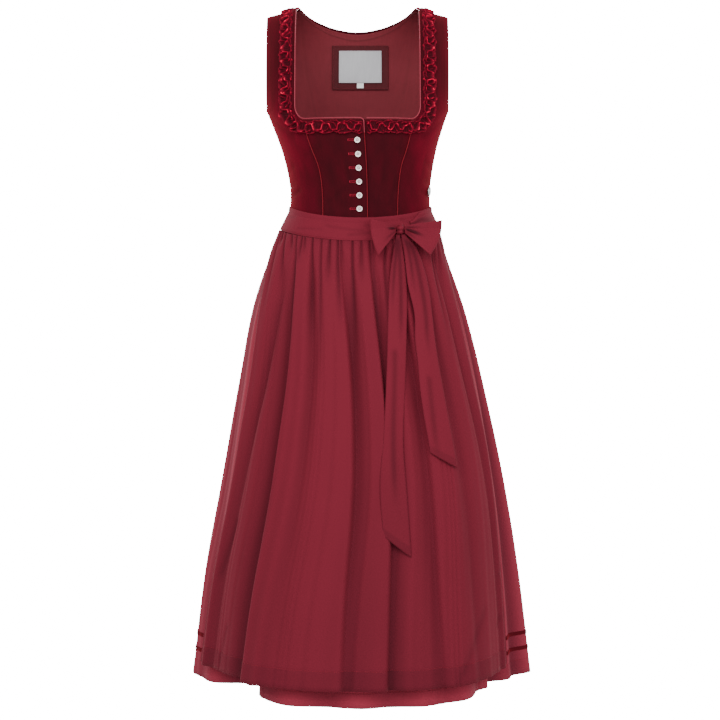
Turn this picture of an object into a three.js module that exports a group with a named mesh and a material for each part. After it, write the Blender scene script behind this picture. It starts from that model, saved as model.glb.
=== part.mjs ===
// A dirndl with its tied apron, held open as it is when worn.
// The bodice is seven velvet panels over the shoulders, closed with six buttons at the front. A gathered
// skirt hangs from the waist, and over it a gathered apron, whose ties go round the back to a bow.
// Lengths are in millimetres. +Z is up, the front faces -Y, and +X is the wearer's left.
// The origin lies between the two shoulder straps, at the height of their tops.
import * as THREE from "three";

// Thickness of each cloth, and the gap left between two pieces that meet
const cloth = { bodice: 2, lining: 1, skirt: 1.6, apron: 1.6, band: 2, bow: 1.4, ribbon: 1, label: 1 };
const seam = 0.3;

// Heights of the garment's main lines
const underarm = -174;
const neckline = -188;
const waist = -336;
const waistDipFront = 20;
const waistRiseBack = 4;
const hem = -1112;
const apronHem = -1080;

// The shoulder: its arch from front to back, and the straps that cross it
const archHeight = 100;
const ridgeRun = (archHeight * Math.PI) / 2;
const strapInner = 105;
const armholeEdge = 153.5;
const shoulderSlope = 0.25;
const neckSteepening = 0.002;
const neckRounding = 34;
const shoulderLevelAt = 133;

// Level sections of the bodice: half its width, how far it stands forward and back, and where its sides lie
const bodiceSections = [
  { height: -380, halfWidth: 121, front: 100, back: 90, sideY: 0 },
  { height: -336, halfWidth: 118, front: 98, back: 88, sideY: 0 },
  { height: -299, halfWidth: 118, front: 101, back: 90, sideY: 0 },
  { height: -265, halfWidth: 123, front: 107, back: 94, sideY: 0 },
  { height: -231, halfWidth: 131, front: 114, back: 98, sideY: 1 },
  { height: -198, halfWidth: 142, front: 118, back: 101, sideY: 2 },
  { height: -174, halfWidth: 151, front: 117, back: 101, sideY: 3 },
  { height: -165, halfWidth: 155, front: 116, back: 101, sideY: 4 },
  { height: -150, halfWidth: 159, front: 113, back: 100, sideY: 5 },
  { height: -130, halfWidth: 162, front: 109, back: 98, sideY: 7 },
  { height: -100, halfWidth: 164, front: 104, back: 96, sideY: 9 },
  { height: 0, halfWidth: 165, front: 104, back: 96, sideY: 16 },
];
const bodiceSquareness = 0.2;
const waistSway = 4.5;
const cup = { x: 62, height: -207, fullness: 9, width: 40, tall: 48 };

// Sections of the skirt, from the waist seam (fall 0) to the hem (fall 1)
const skirtSections = [
  { fall: 0, halfWidth: 118, front: 98, back: 88, shift: 4.5, squareness: 0.2 },
  { fall: 0.04, halfWidth: 133, front: 108, back: 104, shift: 4, squareness: 0.18 },
  { fall: 0.11, halfWidth: 155, front: 128, back: 134, shift: 0.5, squareness: 0.14 },
  { fall: 0.22, halfWidth: 184, front: 153, back: 163, shift: 1, squareness: 0.1 },
  { fall: 0.38, halfWidth: 212, front: 180, back: 188, shift: 5, squareness: 0.05 },
  { fall: 0.6, halfWidth: 246, front: 210, back: 214, shift: 7.5, squareness: 0.02 },
  { fall: 0.8, halfWidth: 273, front: 233, back: 234, shift: 4.5, squareness: 0 },
  { fall: 1, halfWidth: 293, front: 253, back: 250, shift: 3.5, squareness: 0 },
];
// Where the hem's outline falls in from a plain oval: in degrees from the front, with its width and depth
const skirtHollows = [
  { angle: -58, width: 17, depth: 42 },
  { angle: 58, width: 17, depth: 42 },
];

// Gathers of the skirt and how deep they are on the way down
const skirtGathers = 40;
const skirtFoldDepth = [
  { fall: 0, gather: 0.3, fold: 0 },
  { fall: 0.04, gather: 0.9, fold: 0.2 },
  { fall: 0.1, gather: 2.6, fold: 1.6 },
  { fall: 0.25, gather: 1.2, fold: 4.5 },
  { fall: 0.5, gather: 0, fold: 7.5 },
  { fall: 1, gather: 0, fold: 11 },
];
// Single deep folds of the skirt: their place in degrees from the front, and their depth at the hem
const skirtDeepFolds = [
  { angle: -47, width: 11, depth: 46 },
  { angle: 74, width: 9, depth: 16 },
  { angle: 128, width: 12, depth: 22 },
  { angle: 176, width: 14, depth: 18 },
  { angle: -132, width: 12, depth: 24 },
  { angle: -92, width: 9, depth: 10 },
];

// The apron's side edges, in degrees from the front, on the way down
const apronEdges = [
  { fall: 0, right: -86, left: 80 },
  { fall: 0.1, right: -71, left: 70 },
  { fall: 0.25, right: -63, left: 65 },
  { fall: 0.5, right: -66, left: 67 },
  { fall: 0.75, right: -70.5, left: 67 },
  { fall: 1, right: -73.5, left: 67 },
];
const apronGathers = 26;
// How far the apron stands off the skirt, and the depth of its gathers
const apronRelief = [
  { fall: 0, stand: 1.6, gather: 0.5 },
  { fall: 0.03, stand: 4, gather: 1.8 },
  { fall: 0.1, stand: 8, gather: 1.6 },
  { fall: 0.25, stand: 12, gather: 0.7 },
  { fall: 0.5, stand: 16, gather: 0 },
  { fall: 1, stand: 20, gather: 0 },
];
// The apron's long folds as valleys. Places run from 0 at its right edge to 1 at its left edge.
// A valley has its own slope on each side, and a share of its full depth at the top and at the hem.
const apronFolds = [
  { top: 0.12, hem: 0.135, rightSlope: 0.03, leftSlope: 0.022, depth: 7, atTop: 0.7, atHem: 0.5 },
  { top: 0.25, hem: 0.235, rightSlope: 0.045, leftSlope: 0.014, depth: 14, atTop: 0.6, atHem: 1 },
  { top: 0.335, hem: 0.38, rightSlope: 0.02, leftSlope: 0.02, depth: 7, atTop: 1, atHem: 0.1 },
  { top: 0.45, hem: 0.505, rightSlope: 0.018, leftSlope: 0.035, depth: 12, atTop: 0.8, atHem: 0.6 },
  { top: 0.57, hem: 0.6, rightSlope: 0.014, leftSlope: 0.03, depth: 11, atTop: 0.9, atHem: 0.9 },
  { top: 0.66, hem: 0.7, rightSlope: 0.03, leftSlope: 0.018, depth: 9, atTop: 0.8, atHem: 0.6 },
  { top: 0.77, hem: 0.81, rightSlope: 0.025, leftSlope: 0.025, depth: 7, atTop: 0.8, atHem: 0.3 },
  { top: 0.88, hem: 0.93, rightSlope: 0.02, leftSlope: 0.02, depth: 6, atTop: 0.8, atHem: 0.4 },
];

// The waistband of the apron, above and below the waist seam, and how far it stands off the bodice
const band = { above: 8, below: 30, standOff: 0.8, overPlacket: 3.9 };

// The front closure: its free edge, the lap under it, and the row of buttons
const placket = { edgeTop: 10.4, edgeWaist: 12.5, lap: 22, riseFrom: -44, riseTo: -15 };
const placketLift = cloth.bodice + 0.9;
const buttons = { radius: 5.5, top: -221.6, pitch: 22.4, fromEdge: 13.6 };
// How far each button stands off the placket, from the top one down to the hollow of the waist
const buttonSeats = [0.25, 0.35, 0.5, 0.55, 0.75, 0.95];

// Where the princess seams run, front and back
const frontPrincess = [
  { height: -380, x: 61 },
  { height: -340, x: 61 },
  { height: -315, x: 61.5 },
  { height: -287, x: 63.5 },
  { height: -262, x: 68 },
  { height: -238, x: 76.5 },
  { height: -215, x: 83.5 },
  { height: -188, x: 87 },
];
const backPrincess = [
  { height: -380, x: 52 },
  { height: -336, x: 52 },
  { height: -265, x: 56 },
  { height: -190, x: 68 },
  { height: -120, x: 84 },
  { height: -60, x: 94 },
  { height: 0, x: 99 },
];
const neckCorner = { x: 87, wide: 18, tall: 24 };
// The back neckline's height across the back, from the middle to the strap
const backNeck = [
  { x: 0, height: -21.5 },
  { x: 17, height: -20.6 },
  { x: 32, height: -18.4 },
  { x: 48, height: -15 },
  { x: 63, height: -10 },
  { x: 76, height: -4.5 },
  { x: 88, height: 2.5 },
  { x: 99, height: 10 },
];

const radians = THREE.MathUtils.degToRad;
const { clamp, lerp, smoothstep } = THREE.MathUtils;

// A smooth curve through the rows of a table, from one named column to another.
function curve(rows, from, to) {
  const slope = rows.map((row, i) => {
    const before = rows[Math.max(i - 1, 0)];
    const after = rows[Math.min(i + 1, rows.length - 1)];
    return (after[to] - before[to]) / (after[from] - before[from]);
  });
  return (at) => {
    let i = 0;
    while (i < rows.length - 2 && at > rows[i + 1][from]) i++;
    const span = rows[i + 1][from] - rows[i][from];
    const t = clamp((at - rows[i][from]) / span, 0, 1);
    const [a, b] = [rows[i][to], rows[i + 1][to]];
    const [da, db] = [slope[i] * span, slope[i + 1] * span];
    return a + t * (da + t * (3 * (b - a) - 2 * da - db + t * (2 * (a - b) + da + db)));
  };
}

// The value at a place from 0 to 1 along an even list
function along(list, place) {
  const at = clamp(place, 0, 1) * (list.length - 1);
  const i = Math.min(Math.floor(at), list.length - 2);
  return lerp(list[i], list[i + 1], at - i);
}

const steps = (count) => Array.from({ length: count + 1 }, (_, i) => i / count);

// The bodice's outer face

const bodiceHalfWidth = curve(bodiceSections, "height", "halfWidth");
const bodiceFront = curve(bodiceSections, "height", "front");
const bodiceBack = curve(bodiceSections, "height", "back");
const bodiceSideY = curve(bodiceSections, "height", "sideY");

// "Run" is the way up the cloth. It is 0 at the foot of the shoulder's arch and ridgeRun at its top.
const runAt = (height) => {
  const above = height + archHeight;
  return above <= 0 ? above : archHeight * Math.asin(Math.min(above / archHeight, 1));
};
const heightAt = (run) => (run <= 0 ? run - archHeight : archHeight * (Math.sin(run / archHeight) - 1));

function shoulderRise(x) {
  const inward = shoulderLevelAt - Math.hypot(x, neckRounding);
  return shoulderSlope * inward + (inward > 0 ? neckSteepening * inward * inward : 0);
}

// A point of the bodice at an angle from the front (0 front, 90 the wearer's left side) and a run
function bodicePoint({ angle, run }) {
  const height = heightAt(run);
  const tuck = run <= 0 ? 1 : Math.cos(run / archHeight);
  const facing = Math.cos(angle);
  const side = bodiceHalfWidth(height) * Math.sin(angle);
  const depth = (facing > 0 ? bodiceFront(height) : bodiceBack(height)) * tuck;
  const apart = (Math.abs(side) - cup.x) / cup.width;
  const level = (height - cup.height) / cup.tall;
  const bust = facing > 0 ? cup.fullness * facing * Math.exp(-apart * apart - level * level) : 0;
  const y = bodiceSideY(height) - depth * facing * (1 + bodiceSquareness * Math.sin(angle) ** 2) - bust;
  const x = side + waistSway * smoothstep(-height, 150, 300);
  const z = height + shoulderRise(side) * smoothstep(height, -150, -5);
  return new THREE.Vector3(x, y, z);
}

// The outward direction of a face, from the points close by
function bodiceNormal({ angle, run }) {
  const small = 1e-3;
  const across = bodicePoint({ angle: angle + small, run }).sub(bodicePoint({ angle: angle - small, run }));
  const up = bodicePoint({ angle, run: run + small }).sub(bodicePoint({ angle, run: run - small }));
  return across.cross(up).normalize();
}

// The angle at which the bodice has a given x, on the front or the back
function angleOf(x, run, onBack = false) {
  const angle = Math.asin(clamp(x / bodiceHalfWidth(heightAt(run)), -1, 1));
  return onBack ? Math.PI - angle : angle;
}

const bodiceAt = (place, out) => bodicePoint(place).addScaledVector(bodiceNormal(place), out);

// The waist seam's height at an angle
const waistAt = (angle) => {
  const facing = Math.cos(angle);
  return waist - waistDipFront * Math.max(facing, 0) ** 1.5 + waistRiseBack * Math.max(-facing, 0);
};

// Closed solids from rows of points

// The triangles between two rows of point numbers, which may differ in length
function zip(lower, upper) {
  const faces = [];
  let [i, j] = [0, 0];
  while (i < lower.length - 1 || j < upper.length - 1) {
    const lowerNext = (i + 1) / (lower.length - 1);
    const upperNext = (j + 1) / (upper.length - 1);
    if (i < lower.length - 1 && lowerNext <= upperNext + 1e-9) {
      faces.push([lower[i], lower[i + 1], upper[j]]);
      i++;
    } else {
      faces.push([lower[i], upper[j + 1], upper[j]]);
      j++;
    }
  }
  return faces;
}

const turnedOver = (faces) => faces.map(([a, b, c]) => [a, c, b]);

function geometryOf(points, faces) {
  const geometry = new THREE.BufferGeometry();
  geometry.setFromPoints(points);
  geometry.setIndex(faces.flat());
  geometry.computeVertexNormals();
  return geometry;
}

// A wall between two layers of rows. A closed wall's last column lies on its first.
function solidBetween(outerRows, innerRows, closed = false) {
  const points = [];
  const numbered = (rows) => rows.map((row) => row.map((point) => points.push(point) - 1));
  const outer = numbered(outerRows);
  const inner = numbered(innerRows);
  const top = outer.length - 1;
  const faces = [];
  for (let i = 0; i < top; i++) {
    faces.push(...zip(outer[i], outer[i + 1]), ...turnedOver(zip(inner[i], inner[i + 1])));
  }
  faces.push(...zip(inner[0], outer[0]), ...zip(outer[top], inner[top]));
  if (!closed) {
    const first = (rows) => rows.map((row) => row[0]);
    const last = (rows) => rows.map((row) => row[row.length - 1]);
    faces.push(...zip(first(outer), first(inner)), ...zip(last(inner), last(outer)));
  }
  return geometryOf(points, faces);
}

// A wall on the bodice. placeAt gives a place on it, with an optional lift, for each u and v from 0 to 1.
function wallOnBodice(placeAt, columns, rows, outer, inner) {
  const layer = (offset) =>
    steps(rows).map((v) =>
      steps(columns).map((u) => {
        const place = placeAt(u, v);
        const out = typeof offset === "function" ? offset(u, v) : offset;
        return bodiceAt(place, out + (place.lift ?? 0));
      }),
    );
  return solidBetween(layer(outer), layer(inner));
}

// A free sheet of cloth with half its thickness on each side of pointAt
function freeSheet(pointAt, columns, rows, thickness) {
  const small = 1e-3;
  const normalAt = (u, v) => {
    const across = pointAt(u + small, v).sub(pointAt(u - small, v));
    const up = pointAt(u, v + small).sub(pointAt(u, v - small));
    return across.cross(up).normalize();
  };
  const layer = (offset) =>
    steps(rows).map((v) => steps(columns).map((u) => pointAt(u, v).addScaledVector(normalAt(u, v), offset)));
  return solidBetween(layer(thickness / 2), layer(-thickness / 2));
}

// A round cord along points, with even sides
function cordThrough(points, radius, sides, segments) {
  const ring = steps(sides)
    .slice(0, -1)
    .map((turn) => new THREE.Vector2(radius, 0).rotateAround(new THREE.Vector2(), turn * 2 * Math.PI));
  const path = new THREE.CatmullRomCurve3(points);
  return new THREE.ExtrudeGeometry(new THREE.Shape(ring), { steps: segments, extrudePath: path });
}

const group = new THREE.Group();

function finish(colour, roughness, metalness = 0) {
  return new THREE.MeshStandardMaterial({ color: colour, roughness, metalness });
}
const finishes = {
  velvet: finish(0x5a121a, 0.9),
  trim: finish(0x7c1524, 0.75),
  piping: finish(0x9c3346, 0.6),
  lining: finish(0x6f282e, 0.85),
  skirt: finish(0x983b46, 0.8),
  apron: finish(0x822832, 0.8),
  ribbon: finish(0x4a0f15, 0.9),
  label: finish(0xafafb2, 0.6),
  button: finish(0xe6dedc, 0.25),
  metal: finish(0xb8b8b4, 0.35, 0.9),
};

function add(name, geometry, material) {
  const mesh = new THREE.Mesh(geometry, finishes[material]);
  mesh.name = name;
  group.add(mesh);
  return mesh;
}

// The bodice panels

const frontSeamX = curve(frontPrincess, "height", "x");
const backSeamX = curve(backPrincess, "height", "x");
const cornerTurns = [0, 30, 60, 90].map(radians);
const lowerLevels = [waist, -306, -276, -248, -222, -204, neckline];
const cornerLevels = cornerTurns.slice(1).map((turn) => neckline + neckCorner.tall * (1 - Math.cos(turn)));
const armholeLevels = [underarm, -172, -167];
const upperLevels = [-140, -archHeight].concat(
  [18, 36, 54, 72, 89.9].map((turn) => archHeight * (Math.sin(radians(turn)) - 1)),
);
const sideLevels = [...lowerLevels, ...cornerLevels, ...armholeLevels, ...upperLevels].sort((a, b) => a - b);

// A level follows the dipping waist seam low down, and is even from the underarm up.
function followWaist(level, angle) {
  const share = 1 - smoothstep(level, waist, underarm);
  return runAt(level + (waistAt(angle) - waist) * share);
}

// The neckline's x at a level, on the side of the neck
function neckEdgeX(level) {
  const above = (level - neckline) / neckCorner.tall;
  if (above <= 0) return frontSeamX(level);
  const turn = Math.acos(clamp(1 - above, 0, 1));
  return neckCorner.x + neckCorner.wide * Math.sin(turn);
}

// The outer edge of a side panel at a level: the side seam below the arm, and the armhole above it
function sideAngle(level) {
  const run = runAt(level);
  const halfGap = seam / 2 / bodiceFront(level);
  const sideSeam = Math.PI / 2 - halfGap;
  return level <= underarm ? sideSeam : Math.min(angleOf(armholeEdge, run), sideSeam);
}

const sides = [
  { name: "right", sign: -1 },
  { name: "left", sign: 1 },
];
const fromSide = (sign, u) => (sign > 0 ? u : 1 - u);

for (const { name, sign } of sides) {
  const sideFront = (u, v) => {
    const level = along(sideLevels, v);
    const run = runAt(level);
    const inner = angleOf(neckEdgeX(level) + seam / 2, run);
    const angle = sign * lerp(inner, sideAngle(level), fromSide(sign, u));
    return { angle, run: followWaist(level, angle) };
  };
  add("side_front_" + name, wallOnBodice(sideFront, 4, sideLevels.length - 1, 0, -cloth.bodice), "velvet");

  const sideBack = (u, v) => {
    const level = along(sideLevels, v);
    const run = runAt(level);
    const inner = angleOf(backSeamX(level) + seam / 2, run, true);
    const angle = sign * lerp(Math.PI - sideAngle(level), inner, fromSide(sign, u));
    return { angle, run: followWaist(level, angle) };
  };
  add("side_back_" + name, wallOnBodice(sideBack, 4, sideLevels.length - 1, 0, -cloth.bodice), "velvet");
}

// The level of the back at which the cloth reaches a height, found by halving
function levelAt(x, height) {
  let [low, high] = [underarm, 0];
  for (let i = 0; i < 24; i++) {
    const middle = (low + high) / 2;
    const run = runAt(middle);
    if (bodicePoint({ angle: angleOf(x, run, true), run }).z < height) low = middle;
    else high = middle;
  }
  return (low + high) / 2;
}

// The back neckline is low in the middle and meets the shoulder's top at the straps.
const backRows = 12;
const backNeckHeight = curve(backNeck, "x", "height");
const backNeckX = backNeck[backNeck.length - 1].x;
function centreBack(u, v) {
  const across = 1 - 2 * u;
  const neckX = Math.abs(across) * backNeckX;
  const top = Math.abs(across) < 1 ? levelAt(neckX, backNeckHeight(neckX)) : -1e-4;
  const level = heightAt(lerp(runAt(waist), runAt(top), v));
  const x = across * (backSeamX(level) - seam);
  const angle = angleOf(x, runAt(level), true);
  return { angle, run: followWaist(level, angle) };
}
add("centre_back", wallOnBodice(centreBack, 20, backRows, 0, -cloth.bodice), "velvet");

// The wearer's right front laps over the left one, and is lifted by the cloth under it.
const placketX = (level) => lerp(placket.edgeWaist, placket.edgeTop, (level - waist) / (neckline - waist));
const liftAt = (x) => placketLift * smoothstep(x, placket.riseFrom, placket.riseTo);

function centreFront(leftX, rightX, lifted) {
  return (u, v) => {
    const level = along(lowerLevels, v);
    const x = lerp(leftX(level), rightX(level), u);
    const angle = angleOf(x, runAt(level));
    return { angle, run: followWaist(level, angle), lift: lifted ? liftAt(x) : 0 };
  };
}
const centreRight = centreFront((level) => seam / 2 - frontSeamX(level), placketX, true);
const lapX = (level) => placketX(level) - placket.lap;
const centreLeft = centreFront(lapX, (level) => frontSeamX(level) - seam / 2, false);
add("centre_front_right", wallOnBodice(centreRight, 8, lowerLevels.length - 1, 0, -cloth.bodice), "velvet");
add("centre_front_left", wallOnBodice(centreLeft, 5, lowerLevels.length - 1, 0, -cloth.bodice), "velvet");

// The back lining, with the patch and label that are sewn on it

// Columns of the lining: 0 is the centre of the back, 1 the princess seams, 2 the side seams and armholes
const halfColumns = [0.2, 0.4, 0.6, 0.8, 0.9, 1, 1.25, 1.5, 1.75, 1.92];
const liningColumns = [...halfColumns.toReversed(), 0, ...halfColumns.map((at) => -at)];
const liningOut = -cloth.bodice - 2;
const liningShare = 0.99;
function backLining(u, v) {
  const across = along(liningColumns, u);
  if (Math.abs(across) <= 1) return centreBack((1 - across) / 2, v * liningShare);
  const level = heightAt(lerp(runAt(waist), runAt(-1e-4), v * liningShare));
  const inner = angleOf(backSeamX(level), runAt(level), true);
  const angle = Math.sign(across) * lerp(inner, Math.PI - sideAngle(level), Math.abs(across) - 1);
  return { angle, run: followWaist(level, angle) };
}
const liningIn = liningOut - cloth.lining;
const liningSteps = liningColumns.length - 1;
add("back_lining", wallOnBodice(backLining, liningSteps, backRows, liningOut, liningIn), "lining");

// A flat piece sewn inside the back, in layers that each lie on the one before. They are a little off centre.
const labelCentre = 5;
function insideBack(name, halfWidth, low, high, layerNumber, material) {
  const outer = liningIn - 1.5 - layerNumber * (cloth.label + 0.8);
  const placeAt = (u, v) => {
    const x = labelCentre + lerp(halfWidth, -halfWidth, u);
    const run = runAt(levelAt(x, lerp(low, high, v)));
    return { angle: angleOf(x, run, true), run };
  };
  add(name, wallOnBodice(placeAt, 5, 3, outer, outer - cloth.label), material);
}
insideBack("label_patch", 50, -122, -44, 0, "velvet");
insideBack("label", 38, -110, -53, 1, "label");
insideBack("size_tag", 6, -119, -110.4, 1, "label");

// The ruched trim and the piping round the neckline

// A place on the front by the neckline: s runs from the shoulder (0) down the side, round the corner and
// along to the front edge (1), and w is the distance outward from the neckline.
const trimParts = { side: 0.62, corner: 0.14 };
function besideNeckline(s, w, sign, endX) {
  const cornerTop = neckline + neckCorner.tall;
  if (s <= trimParts.side) {
    const run = lerp(ridgeRun - 1, runAt(cornerTop), s / trimParts.side);
    return { angle: angleOf(sign * (neckCorner.x + neckCorner.wide + w), run), run };
  }
  const turned = (s - trimParts.side) / trimParts.corner;
  const turn = radians(90) * clamp(1 - turned, 0, 1);
  const level = cornerTop - (neckCorner.tall + w) * Math.cos(turn);
  const cornerX = neckCorner.x + (neckCorner.wide + w) * Math.sin(turn);
  const cornerEnd = trimParts.side + trimParts.corner;
  const rest = clamp((s - cornerEnd) / (1 - cornerEnd), 0, 1);
  const x = lerp(sign * cornerX, endX, rest);
  const run = runAt(level);
  return { angle: angleOf(x, run), run, lift: sign < 0 ? liftAt(x) : 0 };
}

// The trim is a ribbon ruched into mouths. They stand up between pinched places, and scallop its edges.
const trim = { clear: 0.9, inner: 2.5, outer: 23, base: 1.4, height: 4.6, scallop: 1.6 };
const mouths = { count: 15, columns: 3 };
function addTrim({ name, sign }, endX) {
  const mouthAt = (s) => Math.abs(Math.sin(Math.PI * mouths.count * s));
  const columns = mouths.count * mouths.columns;
  const across = [0, 0.3, 0.7, 1];
  const layer = (outward) =>
    across.map((share) =>
      steps(columns).map((s) => {
        const open = mouthAt(s);
        const edge = (share - 0.5) * 2;
        const middle = (trim.inner + trim.outer) / 2;
        const half = (trim.outer - trim.inner) / 2 - trim.scallop * (1 - open);
        const place = besideNeckline(s, middle + edge * half, sign, endX);
        const up = outward ? trim.base + trim.height * (Math.abs(edge) < 0.9 ? open : 0.25 * open) : 0;
        return bodiceAt(place, trim.clear + up + (place.lift ?? 0));
      }),
    );
  const [outer, inner] = [layer(true), layer(false)];
  if (sign < 0) [outer, inner].forEach((rows) => rows.reverse());
  add("neck_trim_" + name, solidBetween(outer, inner), "trim");
}
addTrim(sides[0], 9);
addTrim(sides[1], 13.5);

const piping = { neckRadius: 1.1, seamRadius: 0.8, sides: 6 };

function addNeckPiping({ name, sign }, endX) {
  const out = -cloth.bodice / 2;
  const points = steps(26).map((s) => {
    const place = besideNeckline(s, -piping.neckRadius - 0.5, sign, endX);
    return bodiceAt(place, out + (place.lift ?? 0));
  });
  add("neck_piping_" + name, cordThrough(points, piping.neckRadius, piping.sides, 28), "piping");
}
addNeckPiping(sides[0], 8.5);
addNeckPiping(sides[1], 14);

// Piping on a seam lies on the panels, from under the trim to the waistband.
function addSeamPiping(name, xAt, low, high, lifted) {
  const points = steps(8).map((t) => {
    const level = lerp(low, high, t);
    const x = xAt(level);
    const run = runAt(level);
    const angle = angleOf(x, run);
    const out = piping.seamRadius + 0.8 + (lifted ? placketLift : 0);
    return bodiceAt({ angle, run }, out);
  });
  add(name, cordThrough(points, piping.seamRadius, piping.sides, 10), "piping");
}
for (const { name, sign } of sides) {
  const frontTop = neckline - trim.outer - 1;
  const frontFoot = waistAt(angleOf(frontSeamX(waist), runAt(waist))) + band.above + 1;
  addSeamPiping("front_piping_" + name, (level) => sign * frontSeamX(level), frontFoot, frontTop, false);
}
const placketFoot = waistAt(0) + band.above + 1;
const placketPipingX = (level) => placketX(level) - piping.seamRadius;
addSeamPiping("placket_piping", placketPipingX, placketFoot, neckline - trim.outer - 1, true);

// The buttons: a domed disc with a raised rim and a centre boss, each on its shank
function buttonGeometry(radius) {
  const profile = [
    [0, 0],
    [radius * 0.8, 0],
    [radius, 1],
    [radius * 0.92, 2.4],
    [radius * 0.6, 2],
    [radius * 0.3, 3],
    [0, 3.1],
  ].map(([r, h]) => new THREE.Vector2(r, h));
  return new THREE.LatheGeometry(profile, 9);
}

function place(mesh, at, out) {
  mesh.position.copy(bodiceAt(at, out));
  mesh.quaternion.setFromUnitVectors(new THREE.Vector3(0, 1, 0), bodiceNormal(at));
}

for (const [i, seat] of buttonSeats.entries()) {
  const level = buttons.top - i * buttons.pitch;
  const run = runAt(level);
  const x = placketX(level) - buttons.fromEdge;
  const button = add("button_" + (i + 1), buttonGeometry(buttons.radius), "button");
  place(button, { angle: angleOf(x, run), run }, placketLift + seat);
}
const sideButton = add("side_button", buttonGeometry(6), "metal");
place(sideButton, { angle: radians(76), run: runAt(-301) }, 0.9);

// The skirt, its ribbons and the apron

const skirtHalfWidth = curve(skirtSections, "fall", "halfWidth");
const skirtFront = curve(skirtSections, "fall", "front");
const skirtBack = curve(skirtSections, "fall", "back");
const skirtShift = curve(skirtSections, "fall", "shift");
const skirtSquareness = curve(skirtSections, "fall", "squareness");
// The sum of rows that each fall in at an angle, fading over a width
function fallenIn(rows, angle) {
  return rows.reduce((sum, row) => {
    const from = angle - radians(row.angle);
    const away = Math.atan2(Math.sin(from), Math.cos(from)) / radians(row.width);
    return sum + row.depth * Math.exp(-away * away);
  }, 0);
}

const gatherDepth = curve(skirtFoldDepth, "fall", "gather");
const foldDepth = curve(skirtFoldDepth, "fall", "fold");

// A point on the skirt's outermost form, at a distance out from it
function skirtForm(angle, fall, out) {
  const halfWidth = skirtHalfWidth(fall);
  const facing = Math.cos(angle);
  const depth = facing > 0 ? skirtFront(fall) : skirtBack(fall);
  const x = skirtShift(fall) + halfWidth * Math.sin(angle);
  const y = -depth * facing * (1 + skirtSquareness(fall) * Math.sin(angle) ** 2);
  const z = lerp(waistAt(angle), hem, fall);
  const outward = new THREE.Vector3(Math.sin(angle) * depth, -facing * halfWidth, 0).normalize();
  const hollow = fallenIn(skirtHollows, angle) * fall ** 1.6;
  return new THREE.Vector3(x, y, z).addScaledVector(outward, out - hollow);
}

// How far the skirt's folds take it in from that form. The turn is 0 to 1 round the wearer, from the front.
function skirtIn(turn, angle, fall) {
  const gather = gatherDepth(fall) * (1 - Math.cos(2 * Math.PI * skirtGathers * turn));
  const fold = foldDepth(fall) * (1 - Math.cos(Math.PI * skirtGathers * turn));
  const underApron = 1 - 0.6 * smoothstep(Math.cos(angle), 0.5, 0.8);
  return gather + fold * underApron + fallenIn(skirtDeepFolds, angle) * fall ** 1.5;
}

// The folds are uneven: closer together in some places than in others.
function angleOfTurn(turn) {
  const round = 2 * Math.PI * turn;
  return round + 0.05 * Math.sin(3 * round) + 0.03 * Math.sin(5 * round + 1);
}


const skirtRows = [
  { fall: 0, fine: true },
  { fall: 0.03, fine: true },
  { fall: 0.08, fine: true },
  { fall: 0.17, fine: false },
  { fall: 0.3, fine: false },
  { fall: 0.48, fine: false },
  { fall: 0.66, fine: false },
  { fall: 0.84, fine: false },
  { fall: 1, fine: false },
];
const columnsOf = (gathers, fine) => gathers * (fine ? 3 : 2);
const seamTurn = 0.0002;
const skirtPoint = (turn, fall, out) => {
  const angle = angleOfTurn(turn);
  return skirtForm(angle, fall, out - skirtIn(turn, angle, fall));
};

function addSkirtHalf(name, from, to) {
  const layer = (out) =>
    skirtRows.map(({ fall, fine }) =>
      steps(columnsOf(skirtGathers / 2, fine)).map((u) => {
        const point = skirtPoint(lerp(from + seamTurn, to - seamTurn, u), fall, out);
        if (fall === 0) point.z -= 0.9;
        return point;
      }),
    );
  add(name, solidBetween(layer(-cloth.skirt).reverse(), layer(-2 * cloth.skirt).reverse()), "skirt");
}
addSkirtHalf("skirt_front", -0.25, 0.25);
addSkirtHalf("skirt_back", 0.25, 0.75);

// Two velvet ribbons are sewn round the skirt above its hem. They share the skirt's columns.
const ribbons = [
  { name: "ribbon_lower", aboveHem: 43 },
  { name: "ribbon_upper", aboveHem: 68 },
];
const ribbonWidth = 6;
const skirtLength = waist - hem;
const skirtSlant = 1.6;
const lastRows = skirtRows.slice(-2).map((row) => row.fall);
for (const { name, aboveHem } of ribbons) {
  const layer = (out) =>
    [-0.5, 0.5].map((side) =>
      steps(skirtGathers * 2).map((u) => {
        const turn = u - 0.25;
        const fall = 1 - (aboveHem + side * ribbonWidth) / skirtLength;
        const share = (fall - lastRows[0]) / (lastRows[1] - lastRows[0]);
        const [upper, lower] = lastRows.map((at) => skirtPoint(turn, at, out - cloth.skirt + skirtSlant));
        return upper.lerp(lower, share);
      }),
    );
  add(name, solidBetween(layer(cloth.ribbon), layer(0), true), "ribbon");
}

const edgeRight = curve(apronEdges, "fall", "right");
const edgeLeft = curve(apronEdges, "fall", "left");
const apronStand = curve(apronRelief, "fall", "stand");
const apronGather = curve(apronRelief, "fall", "gather");
const fallOfApronHem = (waist - apronHem) / (waist - hem);
const fallOfBandFoot = (band.below + seam) / skirtLength;

// A share of the apron's own length, as a fall down the skirt
const apronFall = (v) => lerp(fallOfBandFoot, fallOfApronHem, v);

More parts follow.
